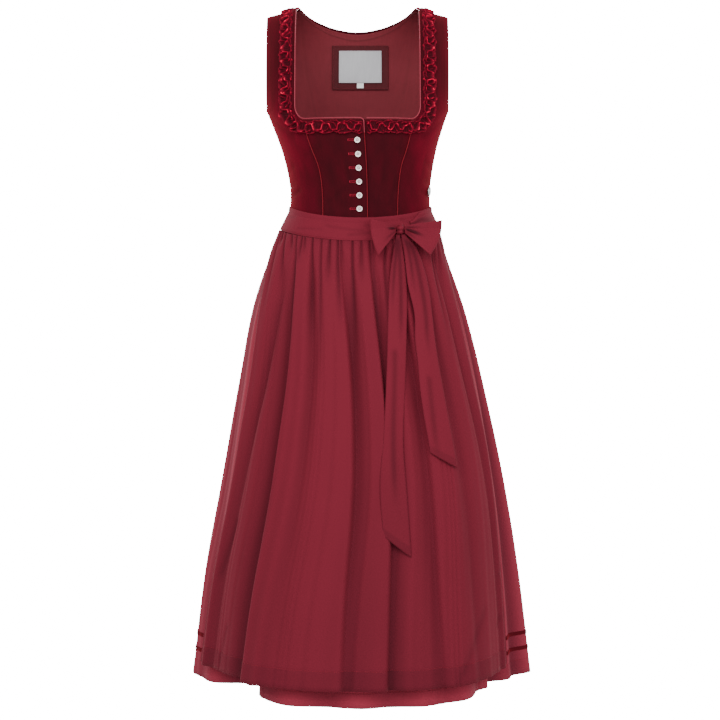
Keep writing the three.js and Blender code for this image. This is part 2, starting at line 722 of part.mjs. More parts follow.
// How far the apron stands off the skirt's form, at a place across (0 right edge, 1 left) and down
function apronOut(across, down) {
  const edge = smoothstep(across, 0, 0.06) * smoothstep(1 - across, 0, 0.06);
  const valleys = apronFolds.reduce((sum, row) => {
    const away = across - lerp(row.top, row.hem, down);
    const slope = away < 0 ? row.rightSlope : row.leftSlope;
    const share = down < 0.3 ? lerp(row.atTop, 1, down / 0.3) : lerp(1, row.atHem, (down - 0.3) / 0.7);
    return sum + row.depth * share * Math.exp(-((away / slope) ** 2));
  }, 0);
  const stand = apronStand(down);
  const relief = stand - Math.min(valleys * smoothstep(down, 0, 0.12), stand - 1.5);
  const gather = apronGather(down) * (1 - Math.cos(2 * Math.PI * apronGathers * across));
  return 1.2 + relief * edge + gather;
}

const apronRows = [
  { down: 0, fine: true },
  { down: 0.025, fine: true },
  { down: 0.08, fine: true },
  { down: 0.17, fine: false },
  { down: 0.3, fine: false },
  { down: 0.47, fine: false },
  { down: 0.65, fine: false },
  { down: 0.83, fine: false },
  { down: 1, fine: false },
];
function apronPoint(across, down, out) {
  const angle = radians(lerp(edgeRight(down), edgeLeft(down), across));
  return skirtForm(angle, apronFall(down), apronOut(across, down) + out);
}
const apronLayer = (out) =>
  apronRows.map(({ down, fine }) =>
    steps(columnsOf(apronGathers, fine)).map((across) => apronPoint(across, down, out)),
  );
add("apron", solidBetween(apronLayer(cloth.apron).reverse(), apronLayer(0).reverse()), "apron");

// The waistband in front and the tie that goes on round the back, both over the waist seam

function bandPoint(angle, share, out) {
  const height = waistAt(angle) + lerp(-band.below, band.above, share);
  const fall = (waistAt(angle) - height) / skirtLength;
  const overPlacket = smoothstep(Math.cos(angle), 0.85, 0.97) * (band.overPlacket - band.standOff);
  const away = band.standOff + overPlacket + out;
  if (fall >= 0) return skirtForm(angle, fall, away);
  return bodiceAt({ angle, run: runAt(height) }, away);
}
function addBand(name, fromDegrees, toDegrees, columns, out, material) {
  const layer = (extra) =>
    [0, 0.4, 0.79, 1].map((share) =>
      steps(columns).map((u) => bandPoint(radians(lerp(fromDegrees, toDegrees, u)), share, out + extra)),
    );
  add(name, solidBetween(layer(cloth.band), layer(0)), material);
}
addBand("apron_band", -88, 82, 22, 0, "apron");
addBand("tie_back", 82.15, 271.85, 22, 0, "apron");

// The bow at the wearer's left of the front

// The front of what lies under the bow, at an x and a height
function frontAt(x, z, out) {
  let angle = Math.asin(clamp(x / 160, -1, 1));
  let fall = 0;
  for (let i = 0; i < 12; i++) {
    fall = clamp((waistAt(angle) - z) / (waistAt(angle) - hem), 0, 1);
    angle = Math.asin(clamp((x - skirtShift(fall)) / (skirtHalfWidth(fall) + out), -0.999, 0.999));
  }
  return skirtForm(angle, fall, out).y;
}

const knot = { x: 69.9, z: -367, width: 14, height: 17, depth: 9 };
const bandFace = band.standOff + cloth.band;
const knotBack = frontAt(knot.x, knot.z, bandFace) - 1.5;
const knotY = knotBack - knot.depth;

// The front of the band or the gathered apron, whichever stands out more
function overApron(x, z, out) {
  const share = clamp((waist - z) / skirtLength, 0, 1);
  const apron = apronStand(share) + 2 * apronGather(share) + 1.2 + cloth.apron;
  return frontAt(x, z, Math.max(bandFace, apron) + out);
}

function knotGeometry() {
  const ball = new THREE.SphereGeometry(1, 14, 10);
  ball.scale(knot.width / 2, knot.depth, knot.height / 2);
  const pinch = ball.getAttribute("position");
  for (let i = 0; i < pinch.count; i++) {
    const z = pinch.getZ(i) / (knot.height / 2);
    pinch.setX(i, pinch.getX(i) * (0.86 + 0.22 * z * z));
  }
  return ball;
}
const knotMesh = add("bow_knot", knotGeometry(), "apron");
knotMesh.position.set(knot.x, knotY, knot.z);

// A loop is a band of cloth that leaves the knot, turns over at the loop's end and comes back in front.
const loops = [
  { name: "right", root: 62.4, endTop: [20, -350], endFoot: [33, -410], open: 7, back: 5 },
  { name: "left", root: 77.4, endTop: [137, -353], endFoot: [118, -409], open: 8, back: 7 },
];
const loopRoot = { height: 12, gap: 1.6 };
for (const loop of loops) {
  const pointAt = (u, v) => {
    const turn = 2 * Math.PI * v;
    const reach = (1 - Math.cos(turn)) / 2;
    const bulge = Math.sin(turn) * Math.abs(Math.sin(turn / 2));
    const open = loop.open * bulge + loopRoot.gap * Math.cos(turn / 2);
    const spread = reach ** 0.8;
    const foot = new THREE.Vector2(loop.root, knot.z - loopRoot.height / 2);
    const top = new THREE.Vector2(loop.root, knot.z + loopRoot.height / 2);
    foot.lerp(new THREE.Vector2(...loop.endFoot), spread);
    top.lerp(new THREE.Vector2(...loop.endTop), spread);
    const at = foot.lerp(top, u);
    const atRoot = overApron(loop.root, knot.z, 0) - knotY;
    const standing = lerp(atRoot, loop.open + loop.back, spread);
    const y = overApron(at.x, Math.min(at.y, -366), 0) - standing + open;
    return new THREE.Vector3(at.x, y, at.y);
  };
  add("bow_loop_" + loop.name, freeSheet(pointAt, 4, 18, cloth.bow), "apron");
}

// Each tail hangs over the apron's folds. Its rows give its two edges on the way down.
const tails = [
  {
    name: "right",
    out: 1.2,
    rows: [
      { z: -375.4, from: 63, to: 69.1 },
      { z: -429, from: 54, to: 77 },
      { z: -469, from: 50.5, to: 79.5 },
      { z: -543, from: 48, to: 78 },
      { z: -599, from: 46, to: 76 },
      { z: -694, from: 41, to: 72 },
      { z: -765, from: 35, to: 77.5 },
      { z: -846, from: 39.5, to: 84 },
    ],
    tip: 34,
  },
  {
    name: "left",
    out: 4,
    rows: [
      { z: -375.4, from: 70.9, to: 77 },
      { z: -400, from: 75, to: 97 },
      { z: -456, from: 81, to: 114 },
      { z: -502, from: 91, to: 120 },
      { z: -543, from: 92, to: 124.5 },
      { z: -576, from: 95.5, to: 129.5 },
      { z: -635, from: 101, to: 138.5 },
      { z: -721, from: 114, to: 155 },
    ],
    tip: 26,
  },
];
for (const tail of tails) {
  const down = tail.rows.map((row) => ({ ...row, drop: -row.z })).sort((a, b) => a.drop - b.drop);
  const fromX = curve(down, "drop", "from");
  const toX = curve(down, "drop", "to");
  const [top, foot] = [down[0].drop, down[down.length - 1].drop];
  const pointAt = (u, v) => {
    const drop = lerp(top, foot, 1 - v);
    const x = lerp(fromX(drop), toX(drop), u);
    const z = -drop - tail.tip * (1 - v) ** 3 * u;
    const lying = overApron(x, z, tail.out) - 2.5 * Math.sin(Math.PI * u) * smoothstep(drop, top, top + 60);
    const y = lerp(knotY - tail.out / 4, lying, smoothstep(drop, top, top + 36));
    return new THREE.Vector3(x, y, z);
  };
  add("bow_tail_" + tail.name, freeSheet(pointAt, 4, 14, cloth.bow), "apron");
}

// The tie that comes round from the back narrows to the knot, over the waistband.
function tieOverBand(u, v) {
  const angle = radians(lerp(41, 80, u));
  const open = smoothstep(u, 0, 0.9);
  const share = lerp(lerp(0.42, 0.05, open), lerp(0.66, 0.98, open), v);
  const out = cloth.band + 0.7 + cloth.bow / 2 + 0.5 * Math.sin(Math.PI * v) * (1 - open);
  return bandPoint(angle, share, out);
}
add("tie_left", freeSheet(tieOverBand, 8, 3, cloth.bow), "apron");

export default group;
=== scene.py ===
# %% [markdown]
# # Dressing a dirndl
#
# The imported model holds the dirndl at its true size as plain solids: seven bodice panels, a gathered skirt,
# an apron with its ties and bow, and the small trimmings. This lesson lays finer cloth on the same forms,
# adds the trimmings and the sewing, and gives every surface its own finish. The solids stay where they are,
# so the visual model keeps their size.

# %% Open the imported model
import math

import bmesh
import bpy
import numpy as np
from mathutils import Matrix, Vector


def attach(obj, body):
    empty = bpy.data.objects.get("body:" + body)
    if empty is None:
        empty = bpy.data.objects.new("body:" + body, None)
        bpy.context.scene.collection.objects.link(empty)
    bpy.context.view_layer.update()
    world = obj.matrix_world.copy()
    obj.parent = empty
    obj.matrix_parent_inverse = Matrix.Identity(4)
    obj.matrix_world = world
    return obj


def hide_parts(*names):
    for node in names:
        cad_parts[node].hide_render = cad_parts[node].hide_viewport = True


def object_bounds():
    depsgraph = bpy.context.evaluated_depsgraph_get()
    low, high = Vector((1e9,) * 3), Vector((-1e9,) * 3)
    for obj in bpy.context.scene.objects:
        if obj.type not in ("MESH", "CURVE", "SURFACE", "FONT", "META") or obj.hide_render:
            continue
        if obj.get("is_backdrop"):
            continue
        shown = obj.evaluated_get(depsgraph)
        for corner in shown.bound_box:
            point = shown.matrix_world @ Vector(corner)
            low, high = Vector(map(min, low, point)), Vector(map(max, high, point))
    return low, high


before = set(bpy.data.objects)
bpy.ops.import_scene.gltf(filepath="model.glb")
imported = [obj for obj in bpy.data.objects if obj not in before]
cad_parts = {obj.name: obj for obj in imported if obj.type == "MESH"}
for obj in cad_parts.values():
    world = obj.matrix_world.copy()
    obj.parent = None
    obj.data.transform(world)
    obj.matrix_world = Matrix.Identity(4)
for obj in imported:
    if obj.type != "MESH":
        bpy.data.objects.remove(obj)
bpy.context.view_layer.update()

# %% [markdown]
# ## The camera
#
# The dress was photographed square from the front, from about the height of the waist. A long lens three
# metres away gives the same outline. The lens is shifted down rather than tilted, so that upright lines
# stay upright, as they do in the photograph.

# %% Camera
scene = bpy.context.scene
picture_width = 1.2168
camera_distance, camera_height = 3.0, -0.396
camera = bpy.data.objects.new("camera", bpy.data.cameras.new("camera"))
scene.collection.objects.link(camera)
camera.location = (0, -camera_distance, camera_height)
camera.rotation_euler = (math.radians(90), 0, 0)
camera.data.sensor_width = 36
camera.data.lens = camera.data.sensor_width * camera_distance / picture_width
camera.data.shift_x = 0.0035
camera.data.shift_y = -0.157
scene.camera = camera
print("lens", round(camera.data.lens, 1), "mm")

# %% [markdown]
# ## Shader sums
#
# A finish is a small graph of nodes. Writing it as sums on values keeps it readable: `1 - pile * 0.3` adds
# its own Math nodes. Every other node comes from one method, which sets the node's own choices first and
# then fills its sockets.


# %% Values and finishes
class Value:
    """A number or colour that changes over a surface, and can be used in sums."""

    def __init__(self, finish, socket):
        self.finish = finish
        self.socket = socket

    def sum(self, operation, first, second):
        return self.finish.value("ShaderNodeMath", {"operation": operation}, {0: first, 1: second})

    def __add__(self, other):
        return self.sum("ADD", self, other)

    def __sub__(self, other):
        return self.sum("SUBTRACT", self, other)

    def __rsub__(self, other):
        return self.sum("SUBTRACT", other, self)

    def __mul__(self, other):
        return self.sum("MULTIPLY", self, other)

    def __pow__(self, other):
        return self.sum("POWER", self, other)

    __radd__ = __add__
    __rmul__ = __mul__


class Finish:
    """One material, made of nodes."""

    def __init__(self, name):
        self.material = bpy.data.materials.new(name)
        self.material.use_nodes = True
        self.tree = self.material.node_tree
        self.tree.nodes.clear()

    def node(self, kind, settings, sockets):
        made = self.tree.nodes.new(kind)
        for key, value in settings.items():
            setattr(made, key, value)
        for key, value in sockets.items():
            if isinstance(value, Value):
                self.tree.links.new(value.socket, made.inputs[key])
            else:
                made.inputs[key].default_value = value
        return made

    def value(self, kind, settings, sockets, output=0):
        return Value(self, self.node(kind, settings, sockets).outputs[output])

    def place(self, across=1.0, along=1.0):
        """The cloth's own map in metres, drawn out across or along the cloth."""
        at = self.value("ShaderNodeUVMap", {"uv_map": "cloth"}, {})
        return self.value("ShaderNodeMapping", {}, {"Vector": at, "Scale": (across, along, 1)})

    def speckle(self, place, scale, detail=2.0):
        return self.value("ShaderNodeTexNoise", {}, {"Vector": place, "Scale": scale, "Detail": detail})

    def solid_place(self):
        """A place in the piece's own space, for pieces that have no cloth map."""
        return self.value("ShaderNodeTexCoord", {}, {}, "Object")

    def marked(self, name):
        """A mark that the piece carries at its points, such as how deep a fold lies."""
        return self.value("ShaderNodeAttribute", {"attribute_name": name}, {}, "Fac")

    def blend(self, first, second, share):
        """Between two colours, which are sockets 6 and 7 of the Mix node, and output 2."""
        return self.value("ShaderNodeMix", {"data_type": "RGBA"}, {0: share, 6: first, 7: second}, 2)

    def raised(self, height, distance, strength):
        relief = {"Height": height, "Distance": distance, "Strength": strength}
        return self.value("ShaderNodeBump", {}, relief)

    def cover(self, **sockets):
        """Closes the finish: the surface's colour, roughness and the rest, and its output."""
        named = {key.replace("_", " "): value for key, value in sockets.items()}
        surface = self.value("ShaderNodeBsdfPrincipled", {}, named)
        self.node("ShaderNodeOutputMaterial", {}, {"Surface": surface})
        return self.material


def dye(red, green, blue):
    """A dyer's sample, as the eye reads it, made linear for the shader."""
    shares = [part / 255 for part in (red, green, blue)]
    linear = [s / 12.92 if s <= 0.04045 else ((s + 0.055) / 1.055) ** 2.4 for s in shares]
    return (*linear, 1.0)


# %% [markdown]
# ## The cloths
#
# The bodice is cotton velvet. Its pile swallows light that falls straight in, and a painted sheen makes it
# lighter where the cloth turns away. Each panel carries that painted sheen as a mark, "edge", and painted
# shade in its creases as a second mark, "fold". The skirt and apron are a dull crepe: a fine crinkled grain,
# with painted shade in the folds. Where the cloth is turned double, in a hem, it is denser and so a little
# darker too.


# %% Velvet and crepe
def velvet(name, deep, lit, glow, sheen):
    """Velvet in two colours, mixed by the nap's random tone: its dark pile, and a painted sheen where the
    mark "edge" lies.
    """
    f = Finish(name)
    nap = f.speckle(f.place(1.0, 0.35), 55, 4)
    pile = f.speckle(f.place(), 1500, 1)
    # the mark "edge" adds a painted sheen where the cloth turns away from the front
    nap_and_painted_sheen = nap * 0.5 - 0.02 + f.marked("edge") * (nap * 0.7 + 0.28)
    # painted shade: the mark "fold" darkens the velvet in its creases
    share = nap_and_painted_sheen * (1 - f.marked("fold") * 0.6) + (pile - 0.5) * 0.3
    return f.cover(
        Base_Color=f.blend(deep, lit, share),
        Roughness=0.9,
        Specular_IOR_Level=0.03,
        Sheen_Weight=sheen,
        Sheen_Roughness=0.5,
        Sheen_Tint=glow,
        Normal=f.raised(nap * 0.5 + pile * 0.5, 0.0005, 0.3),
    )


def crepe(name, lit, deep, glow, sheen=0.1):
    """Crepe in two colours: the open cloth, and painted shade at the bottom of a fold."""
    f = Finish(name)
    crinkle = f.speckle(f.place(), 620, 3)
    cloud = f.speckle(f.place(1.0, 0.4), 20, 3)
    # painted shade where the mark "fold" lies; the doubled hem is a little darker cloth
    folded = f.marked("fold") + f.marked("hem") * 0.17
    darker = folded + (cloud - 0.5) * 0.16 + (crinkle - 0.5) * 0.55
    return f.cover(
        Base_Color=f.blend(lit, deep, darker),
        Roughness=0.8 + (crinkle - 0.5) * 0.12,
        Specular_IOR_Level=0.06,
        Sheen_Weight=sheen,
        Sheen_Roughness=0.5,
        Sheen_Tint=glow,
        Normal=f.raised(crinkle, 0.0006, 0.3),
    )


# The bodice velvet's second colour is a painted sheen; each crepe's second colour is painted shade in its
# folds.
velvet_cloth = velvet("cotton velvet", dye(31, 9, 12), dye(86, 6, 25), dye(255, 50, 70), 0.2)
ribbon_velvet = velvet("ribbon velvet", dye(50, 8, 14), dye(80, 10, 20), dye(255, 50, 70), 0.2)
apron_crepe = crepe("apron crepe", dye(94, 23, 36), dye(50, 11, 19), dye(235, 90, 110))
skirt_crepe = crepe("skirt crepe", dye(124, 38, 52), dye(70, 17, 28), dye(235, 110, 130), 0.12)
print("velvets and crepes:", velvet_cloth.name, ribbon_velvet.name, apron_crepe.name, skirt_crepe.name)

# %% [markdown]
# The lining and the label's patch are plain matt weaves. The piping is a satin cord, so its gloss runs
# along it. The ruched trim is velvet again, with painted shade nearly black between its pleats and a
# painted highlight where an edge stands up.


# %% Lining, piping, trim and label
def woven(name, lit, deep, thread, roughness, relief):
    """A plain weave: threads across and along, with a slight unevenness of the yarn, and painted shade where
    the mark "fold" lies.
    """
    f = Finish(name)
    threads = {"Vector": f.place(), "Scale": thread}
    over, under = (f.value("ShaderNodeTexWave", {"bands_direction": way}, threads) for way in "XY")
    slub = f.speckle(f.place(1.0, 0.08), 400, 2)
    cloud = f.speckle(f.place(), 30, 2)
    shade = f.marked("fold")
    # the weave's own tone, with painted shade from the mark "fold"
    tone_and_painted_light = (over * under) * 0.25 + (slub - 0.5) * 0.5 + (cloud - 0.5) * 0.4 + shade * 0.8 + 0.25
    return f.cover(
        Base_Color=f.blend(lit, deep, tone_and_painted_light),
        Roughness=roughness,
        Specular_IOR_Level=0.25,
        Normal=f.raised(over * 0.5 + under * 0.5, relief, 0.3),
    )


def satin(name, colour, shadow, roughness=0.42):
    f = Finish(name)
    lay = f.speckle(f.place(1.0, 0.1), 900, 2)
    return f.cover(
        Base_Color=f.blend(colour, shadow, lay * 0.7),
        Roughness=roughness,
        Specular_IOR_Level=0.14,
        Normal=f.raised(lay, 0.0003, 0.3),
    )


def ruched(name, painted_pleat_shade, body, edge, glow):
    """The trim's velvet: the mark "fold" paints shade deep in a pleat, and "edge" paints a highlight along
    its standing edge.
    """
    f = Finish(name)
    pile = f.speckle(f.place(), 900, 2)
    # painted shade between the pleats
    velvet_body = f.blend(body, painted_pleat_shade, f.marked("fold") + (pile - 0.5) * 0.5)
    return f.cover(
        # painted highlight along the standing edges
        Base_Color=f.blend(velvet_body, edge, f.marked("edge") * (0.5 + pile)),
        Roughness=0.8,
        Specular_IOR_Level=0.06,
        Sheen_Weight=0.12,
        Sheen_Roughness=0.4,
        Sheen_Tint=glow,
        Normal=f.raised(pile, 0.0004, 0.3),
    )


lining_cloth = woven("cotton lining", dye(104, 27, 37), dye(80, 17, 25), 520, 0.8, 0.0003)
patch_cloth = woven("patch cloth", dye(72, 11, 20), dye(50, 6, 13), 600, 0.8, 0.0003)
label_cloth = woven("label satin", dye(172, 172, 174), dye(138, 138, 144), 330, 0.5, 0.0003)
tag_cloth = woven("size tag satin", dye(222, 222, 220), dye(190, 190, 192), 420, 0.5, 0.0003)
rose_satin = satin("rose piping", dye(146, 52, 66), dye(108, 28, 42))
red_satin = satin("seam piping", dye(112, 10, 24), dye(72, 5, 14), 0.6)
# The trim's colours: painted pleat shade, its velvet, a painted highlight, and its sheen tint.
trim_velvet = ruched("ruched trim", dye(12, 3, 6), dye(88, 9, 26), dye(225, 24, 66), dye(255, 50, 70))
thread = satin("sewing thread", dye(128, 26, 42), dye(90, 14, 24), 0.5)
bright_thread = satin("buttonhole thread", dye(150, 26, 48), dye(100, 10, 26), 0.5)
pale_thread = satin("label thread", dye(150, 90, 96), dye(110, 60, 66), 0.5)
print("weaves:", lining_cloth.name, label_cloth.name, tag_cloth.name, "and", trim_velvet.name)


# %% Buttons
def pearl(name):
    f = Finish(name)
    cloud = f.speckle(f.solid_place(), 260, 2)
    return f.cover(
        # painted shade from the mark "fold" in the groove and at the rim
        Base_Color=f.blend(dye(250, 240, 232), dye(104, 76, 90), f.marked("fold") + cloud * 0.12),
        Roughness=0.22 + cloud * 0.1,
        Coat_Weight=0.6,
        Coat_Roughness=0.1,
        Normal=f.raised(cloud, 0.0003, 0.15),
    )


def brushed_metal(name):
    f = Finish(name)
    scratch = f.speckle(f.solid_place(), 1800, 3)
    return f.cover(
        Base_Color=f.blend(dye(205, 205, 200), dye(150, 150, 146), scratch),
        Metallic=0.85,
        Roughness=0.3 + scratch * 0.2,
        Normal=f.raised(scratch, 0.0002, 0.2),
    )


pearl_button = pearl("pearl button")
metal_button = brushed_metal("plain metal")
print("buttons:", pearl_button.name, metal_button.name)

# %% [markdown]
# ## Laying cloth on a form
#
# Each cloth starts as a flat grid from Blender's own operator. A surface rule then says where each of its
# points lies, in millimetres, from a place across and a place up the cloth. The same builder writes the
# cloth's map in metres, rolls its cut edges in, and gives it a wall with the Solidify modifier. The other
# way would be to model each panel by hand, but then a change of size would mean starting again.


# %% Numbers on rows
def curve(rows, column):
    """A smooth curve through a table's rows, from its first column to another."""
    table = np.array(rows, float)
    at, value = table[:, 0], table[:, column]
    count = len(at)
    before = np.maximum(np.arange(count) - 1, 0)
    after = np.minimum(np.arange(count) + 1, count - 1)
    slope = (value[after] - value[before]) / (at[after] - at[before])

    def read(x):
        i = np.searchsorted(at[1:-1], x)
        span = at[i + 1] - at[i]
        t = np.clip((x - at[i]) / span, 0, 1)
        a, b, da, db = value[i], value[i + 1], slope[i] * span, slope[i + 1] * span
        return a + t * (da + t * (3 * (b - a) - 2 * da - db + t * (2 * (a - b) + da + db)))

    return read


def mix(a, b, share):
    return a + (b - a) * share


def ease(x, low, high):
    t = np.clip((x - low) / (high - low), 0, 1)
    return t * t * (3 - 2 * t)


def point(x, y, z):
    return np.stack(np.broadcast_arrays(x, y, z), axis=-1).astype(float)


def unit(v):
    return v / np.maximum(np.linalg.norm(v, axis=-1, keepdims=True), 1e-12)


def uneven(turn, count, seed, wander=0.4):
    """Waves from 0 to 1 whose spacing and height wander, the same on every run."""
    rng = np.random.default_rng(seed)
    phase = count * turn
    height = 0.78 + 0 * turn
    for harmonic in (1, 2, 3, 5, 8, 13):
        phase = phase + wander * rng.uniform(-1, 1) * np.sin(2 * np.pi * (harmonic * turn + rng.random()))
        swell = rng.uniform(-1, 1) * np.sin(2 * np.pi * (2.3 * harmonic * turn + rng.random()))
        height = height + 0.12 * swell
    return height * (0.5 - 0.5 * np.cos(2 * np.pi * phase))


def creased(rows, x, y):
    """The depth of soft troughs given in a list: each runs from x, y to x, y with a width and a depth."""
    depth = 0 * (x + y)
    for x0, y0, x1, y1, width, deep in rows:
        run = ((x - x0) * (x1 - x0) + (y - y0) * (y1 - y0)) / ((x1 - x0) ** 2 + (y1 - y0) ** 2)
        near = np.clip(run, 0, 1)
        away = np.hypot(x - x0 - near * (x1 - x0), y - y0 - near * (y1 - y0)) / width
        depth = depth + deep * np.exp(-away * away)
    return depth


# %% The builder of cloth
def path_length(points):
    steps = np.linalg.norm(np.diff(points, axis=0), axis=1)
    return np.concatenate([[0], np.cumsum(steps)])


def rolled_in(points, depth, width=2.2):
    """Turns the cut edges of a cloth in, so that a seam shows as a soft groove."""
    normal = unit(np.cross(np.gradient(points, axis=1), np.gradient(points, axis=0)))
    edge = np.full(points.shape[:2], 1e9)
    for axis in (0, 1):
        step = np.linalg.norm(np.diff(points, axis=axis), axis=2)
        pad = [(1, 0), (0, 0)] if axis == 0 else [(0, 0), (1, 0)]
        along = np.cumsum(np.pad(step, pad), axis=axis)
        whole = along[-1:, :] if axis == 0 else along[:, -1:]
        edge = np.minimum(edge, np.minimum(along, whole - along))
    return points - normal * (depth * np.exp(-((edge / width) ** 2)))[..., None]


def laid_grid(surface, across, up, roll):
    """A grid mesh laid on a surface, with its map and its marks."""
    across, up = np.asarray(across, float), np.asarray(up, float)
    made = surface(across[None, :], up[:, None])
    points, marks = made if isinstance(made, tuple) else (made, {})
    points = np.broadcast_to(points, (len(up), len(across), 3))
    if roll:
        points = rolled_in(points, roll)
    bm = bmesh.new()
    bmesh.ops.create_grid(bm, x_segments=len(across) - 1, y_segments=len(up) - 1, size=0.5)
    mesh = bpy.data.meshes.new("grid")
    bm.to_mesh(mesh)
    bm.free()
    flat = np.zeros(len(mesh.vertices) * 3)
    mesh.vertices.foreach_get("co", flat)
    flat = flat.reshape(-1, 3)
    column = np.rint((flat[:, 0] + 0.5) * (len(across) - 1)).astype(int)
    row = np.rint((flat[:, 1] + 0.5) * (len(up) - 1)).astype(int)
    mesh.vertices.foreach_set("co", (points[row, column] / 1000).ravel())
    map_x = path_length(points[len(up) // 2]) / 1000
    map_y = path_length(points[:, len(across) // 2]) / 1000
    corner = np.zeros(len(mesh.loops), int)
    mesh.loops.foreach_get("vertex_index", corner)
    place = np.stack([map_x[column[corner]], map_y[row[corner]]], axis=1)
    mesh.uv_layers.new(name="cloth").data.foreach_set("uv", place.ravel())
    for name in ("fold", "hem", "edge"):
        mark = np.broadcast_to(marks.get(name, 0.0), points.shape[:2])
        mesh.attributes.new(name, "FLOAT", "POINT").data.foreach_set("value", mark[row, column])
    return mesh


def piece_from(bm, name, *finishes):
    """A smooth piece of the scene, made from a bmesh, with its finishes."""
    mesh = bpy.data.meshes.new(name)
    bm.to_mesh(mesh)
    bm.free()
    mesh.polygons.foreach_set("use_smooth", [True] * len(mesh.polygons))
    for finish in finishes:
        mesh.materials.append(finish)
    piece = bpy.data.objects.new(name, mesh)
    scene.collection.objects.link(piece)
    return piece


cloth_area = {}


def lay_cloth(node, kind, grid, finish, slot, wall=0.0, side=-1.0, roll=0.0, ring=False, cap=0, back=None):
    """Lays a cloth in place of a solid. The grid is a surface rule with its places across and up."""
    name = f"{node}_{kind}"
    mesh = laid_grid(*grid, roll)
    bm = bmesh.new()
    bm.from_mesh(mesh)
    bpy.data.meshes.remove(mesh)
    if ring:
        bmesh.ops.remove_doubles(bm, verts=bm.verts, dist=1e-6)
    if cap:
        bmesh.ops.holes_fill(bm, edges=bm.edges, sides=cap)
    cloth_area[name] = sum(face.calc_area() for face in bm.faces)
    print(f"{name}: {len(bm.faces)} faces, {cloth_area[name]:.4f} m2")
    piece = piece_from(bm, name, *([finish, back] if back else [finish]))
    if wall:
        thick = piece.modifiers.new("wall", "SOLIDIFY")
        thick.thickness = wall / 1000
        thick.offset = side
        thick.material_offset = 1 if back else 0
    return sewn_in(piece, slot, node)


def sewn_in(piece, slot, *nodes):
    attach(piece, "root")
    if nodes:
        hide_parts(*nodes)
    return piece


def close_to_edges(count, low=0.0, high=1.0):
    """Places from low to high that crowd towards both ends, where a panel's edges roll in."""
    t = np.linspace(0, 1, count + 1)
    return mix(low, high, mix(t, 0.5 - 0.5 * np.cos(np.pi * t), 0.75))


# %% [markdown]
# ## The form of the bodice
#
# The bodice is one surface: an angle round the body, and a run up the cloth that goes on over the
# shoulder's arch. Its level sections are squared ovals, and a fitted bodice needs few of them: hip, waist,
# ribs, bust, chest and shoulder. These are the same sizes that the solids have.

# %% Bodice surface
waist, underarm, neckline, hem = -336, -174, -188, -1112
arch = 100
ridge_run = arch * math.pi / 2

bodice_sections = [
    # height, half the width, forward, back, where the sides lie
    (-380, 121, 100, 90, 0),
    (-336, 118, 98, 88, 0),
    (-299, 118, 101, 90, 0),
    (-265, 123, 107, 94, 0),
    (-231, 131, 114, 98, 1),
    (-198, 142, 118, 101, 2),
    (-174, 151, 117, 101, 3),
    (-165, 155, 116, 101, 4),
    (-150, 159, 113, 100, 5),
    (-130, 162, 109, 98, 7),
    (-100, 164, 104, 96, 9),
    (0, 165, 104, 96, 16),
]
half_width, forward, backward, side_y = (curve(bodice_sections, column) for column in (1, 2, 3, 4))


def run_at(height):
    above = height + arch
    return np.where(above <= 0, above, arch * np.arcsin(np.clip(above / arch, 0, 1)))


def height_at(run):
    return np.where(run <= 0, run - arch, arch * (np.sin(np.maximum(run, 0) / arch) - 1))


def shoulder_rise(x):
    inward = 133 - np.hypot(x, 34)
    return 0.25 * inward + np.where(inward > 0, 0.002 * inward * inward, 0)


def bodice_point(angle, run):
    height = height_at(run)
    tuck = np.where(run <= 0, 1, np.cos(run / arch))
    facing = np.cos(angle)
    x = half_width(height) * np.sin(angle)
    depth = np.where(facing > 0, forward(height), backward(height)) * tuck
    apart, level = (np.abs(x) - 62) / 40, (height + 207) / 48
    bust = np.where(facing > 0, 9 * facing * np.exp(-apart * apart - level * level), 0)
    y = side_y(height) - depth * facing * (1 + 0.2 * np.sin(angle) ** 2) - bust
    z = height + shoulder_rise(x) * ease(height, -150, -5)
    return point(x + 4.5 * ease(-height, 150, 300), y, z)


def bodice_normal(angle, run):
    small = 1e-3
    across = bodice_point(angle + small, run) - bodice_point(angle - small, run)
    up = bodice_point(angle, run + small) - bodice_point(angle, run - small)
    return unit(np.cross(across, up))


def on_bodice(angle, run, out=0.0):
    out = np.broadcast_to(out, np.broadcast_shapes(np.shape(angle), np.shape(run), np.shape(out)))
    return bodice_point(angle, run) + bodice_normal(angle, run) * out[..., None]


def angle_of(x, run, on_back=False):
    angle = np.arcsin(np.clip(x / half_width(height_at(run)), -1, 1))
    return np.pi - angle if on_back else angle


def waist_at(angle):
    facing = np.cos(angle)
    return waist - 20 * np.maximum(facing, 0) ** 1.5 + 4 * np.maximum(-facing, 0)


def follow_waist(level, angle):
    share = 1 - ease(level, waist, underarm)
    return run_at(level + (waist_at(angle) - waist) * share)


# %% [markdown]
# ## The velvet panels
#
# Seven panels make the bodice: two at the centre front, one at the centre back, and a front and a back
# panel on each side. Velvet on a fitted bodice shows few creases, but it pulls a little from the bust to
# the waist and bunches at the small of the back. Those creases are listed as soft troughs, in degrees
# round the body and millimetres of height, with others like them where the photograph doesn't show.

# %% Bodice seams and creases
# height, distance from the middle
front_seam = [(-380, 61), (-340, 61), (-315, 61.5), (-287, 63.5), (-262, 68), (-238, 76.5), (-215, 83.5)]
back_seam = [(-380, 52), (-336, 52), (-265, 56), (-190, 68), (-120, 84), (-60, 94), (0, 99)]
neck_corner_x = 87
front_seam_x = curve([*front_seam, (-188, neck_corner_x)], 1)
back_seam_x = curve(back_seam, 1)
degree_mm = 2.25

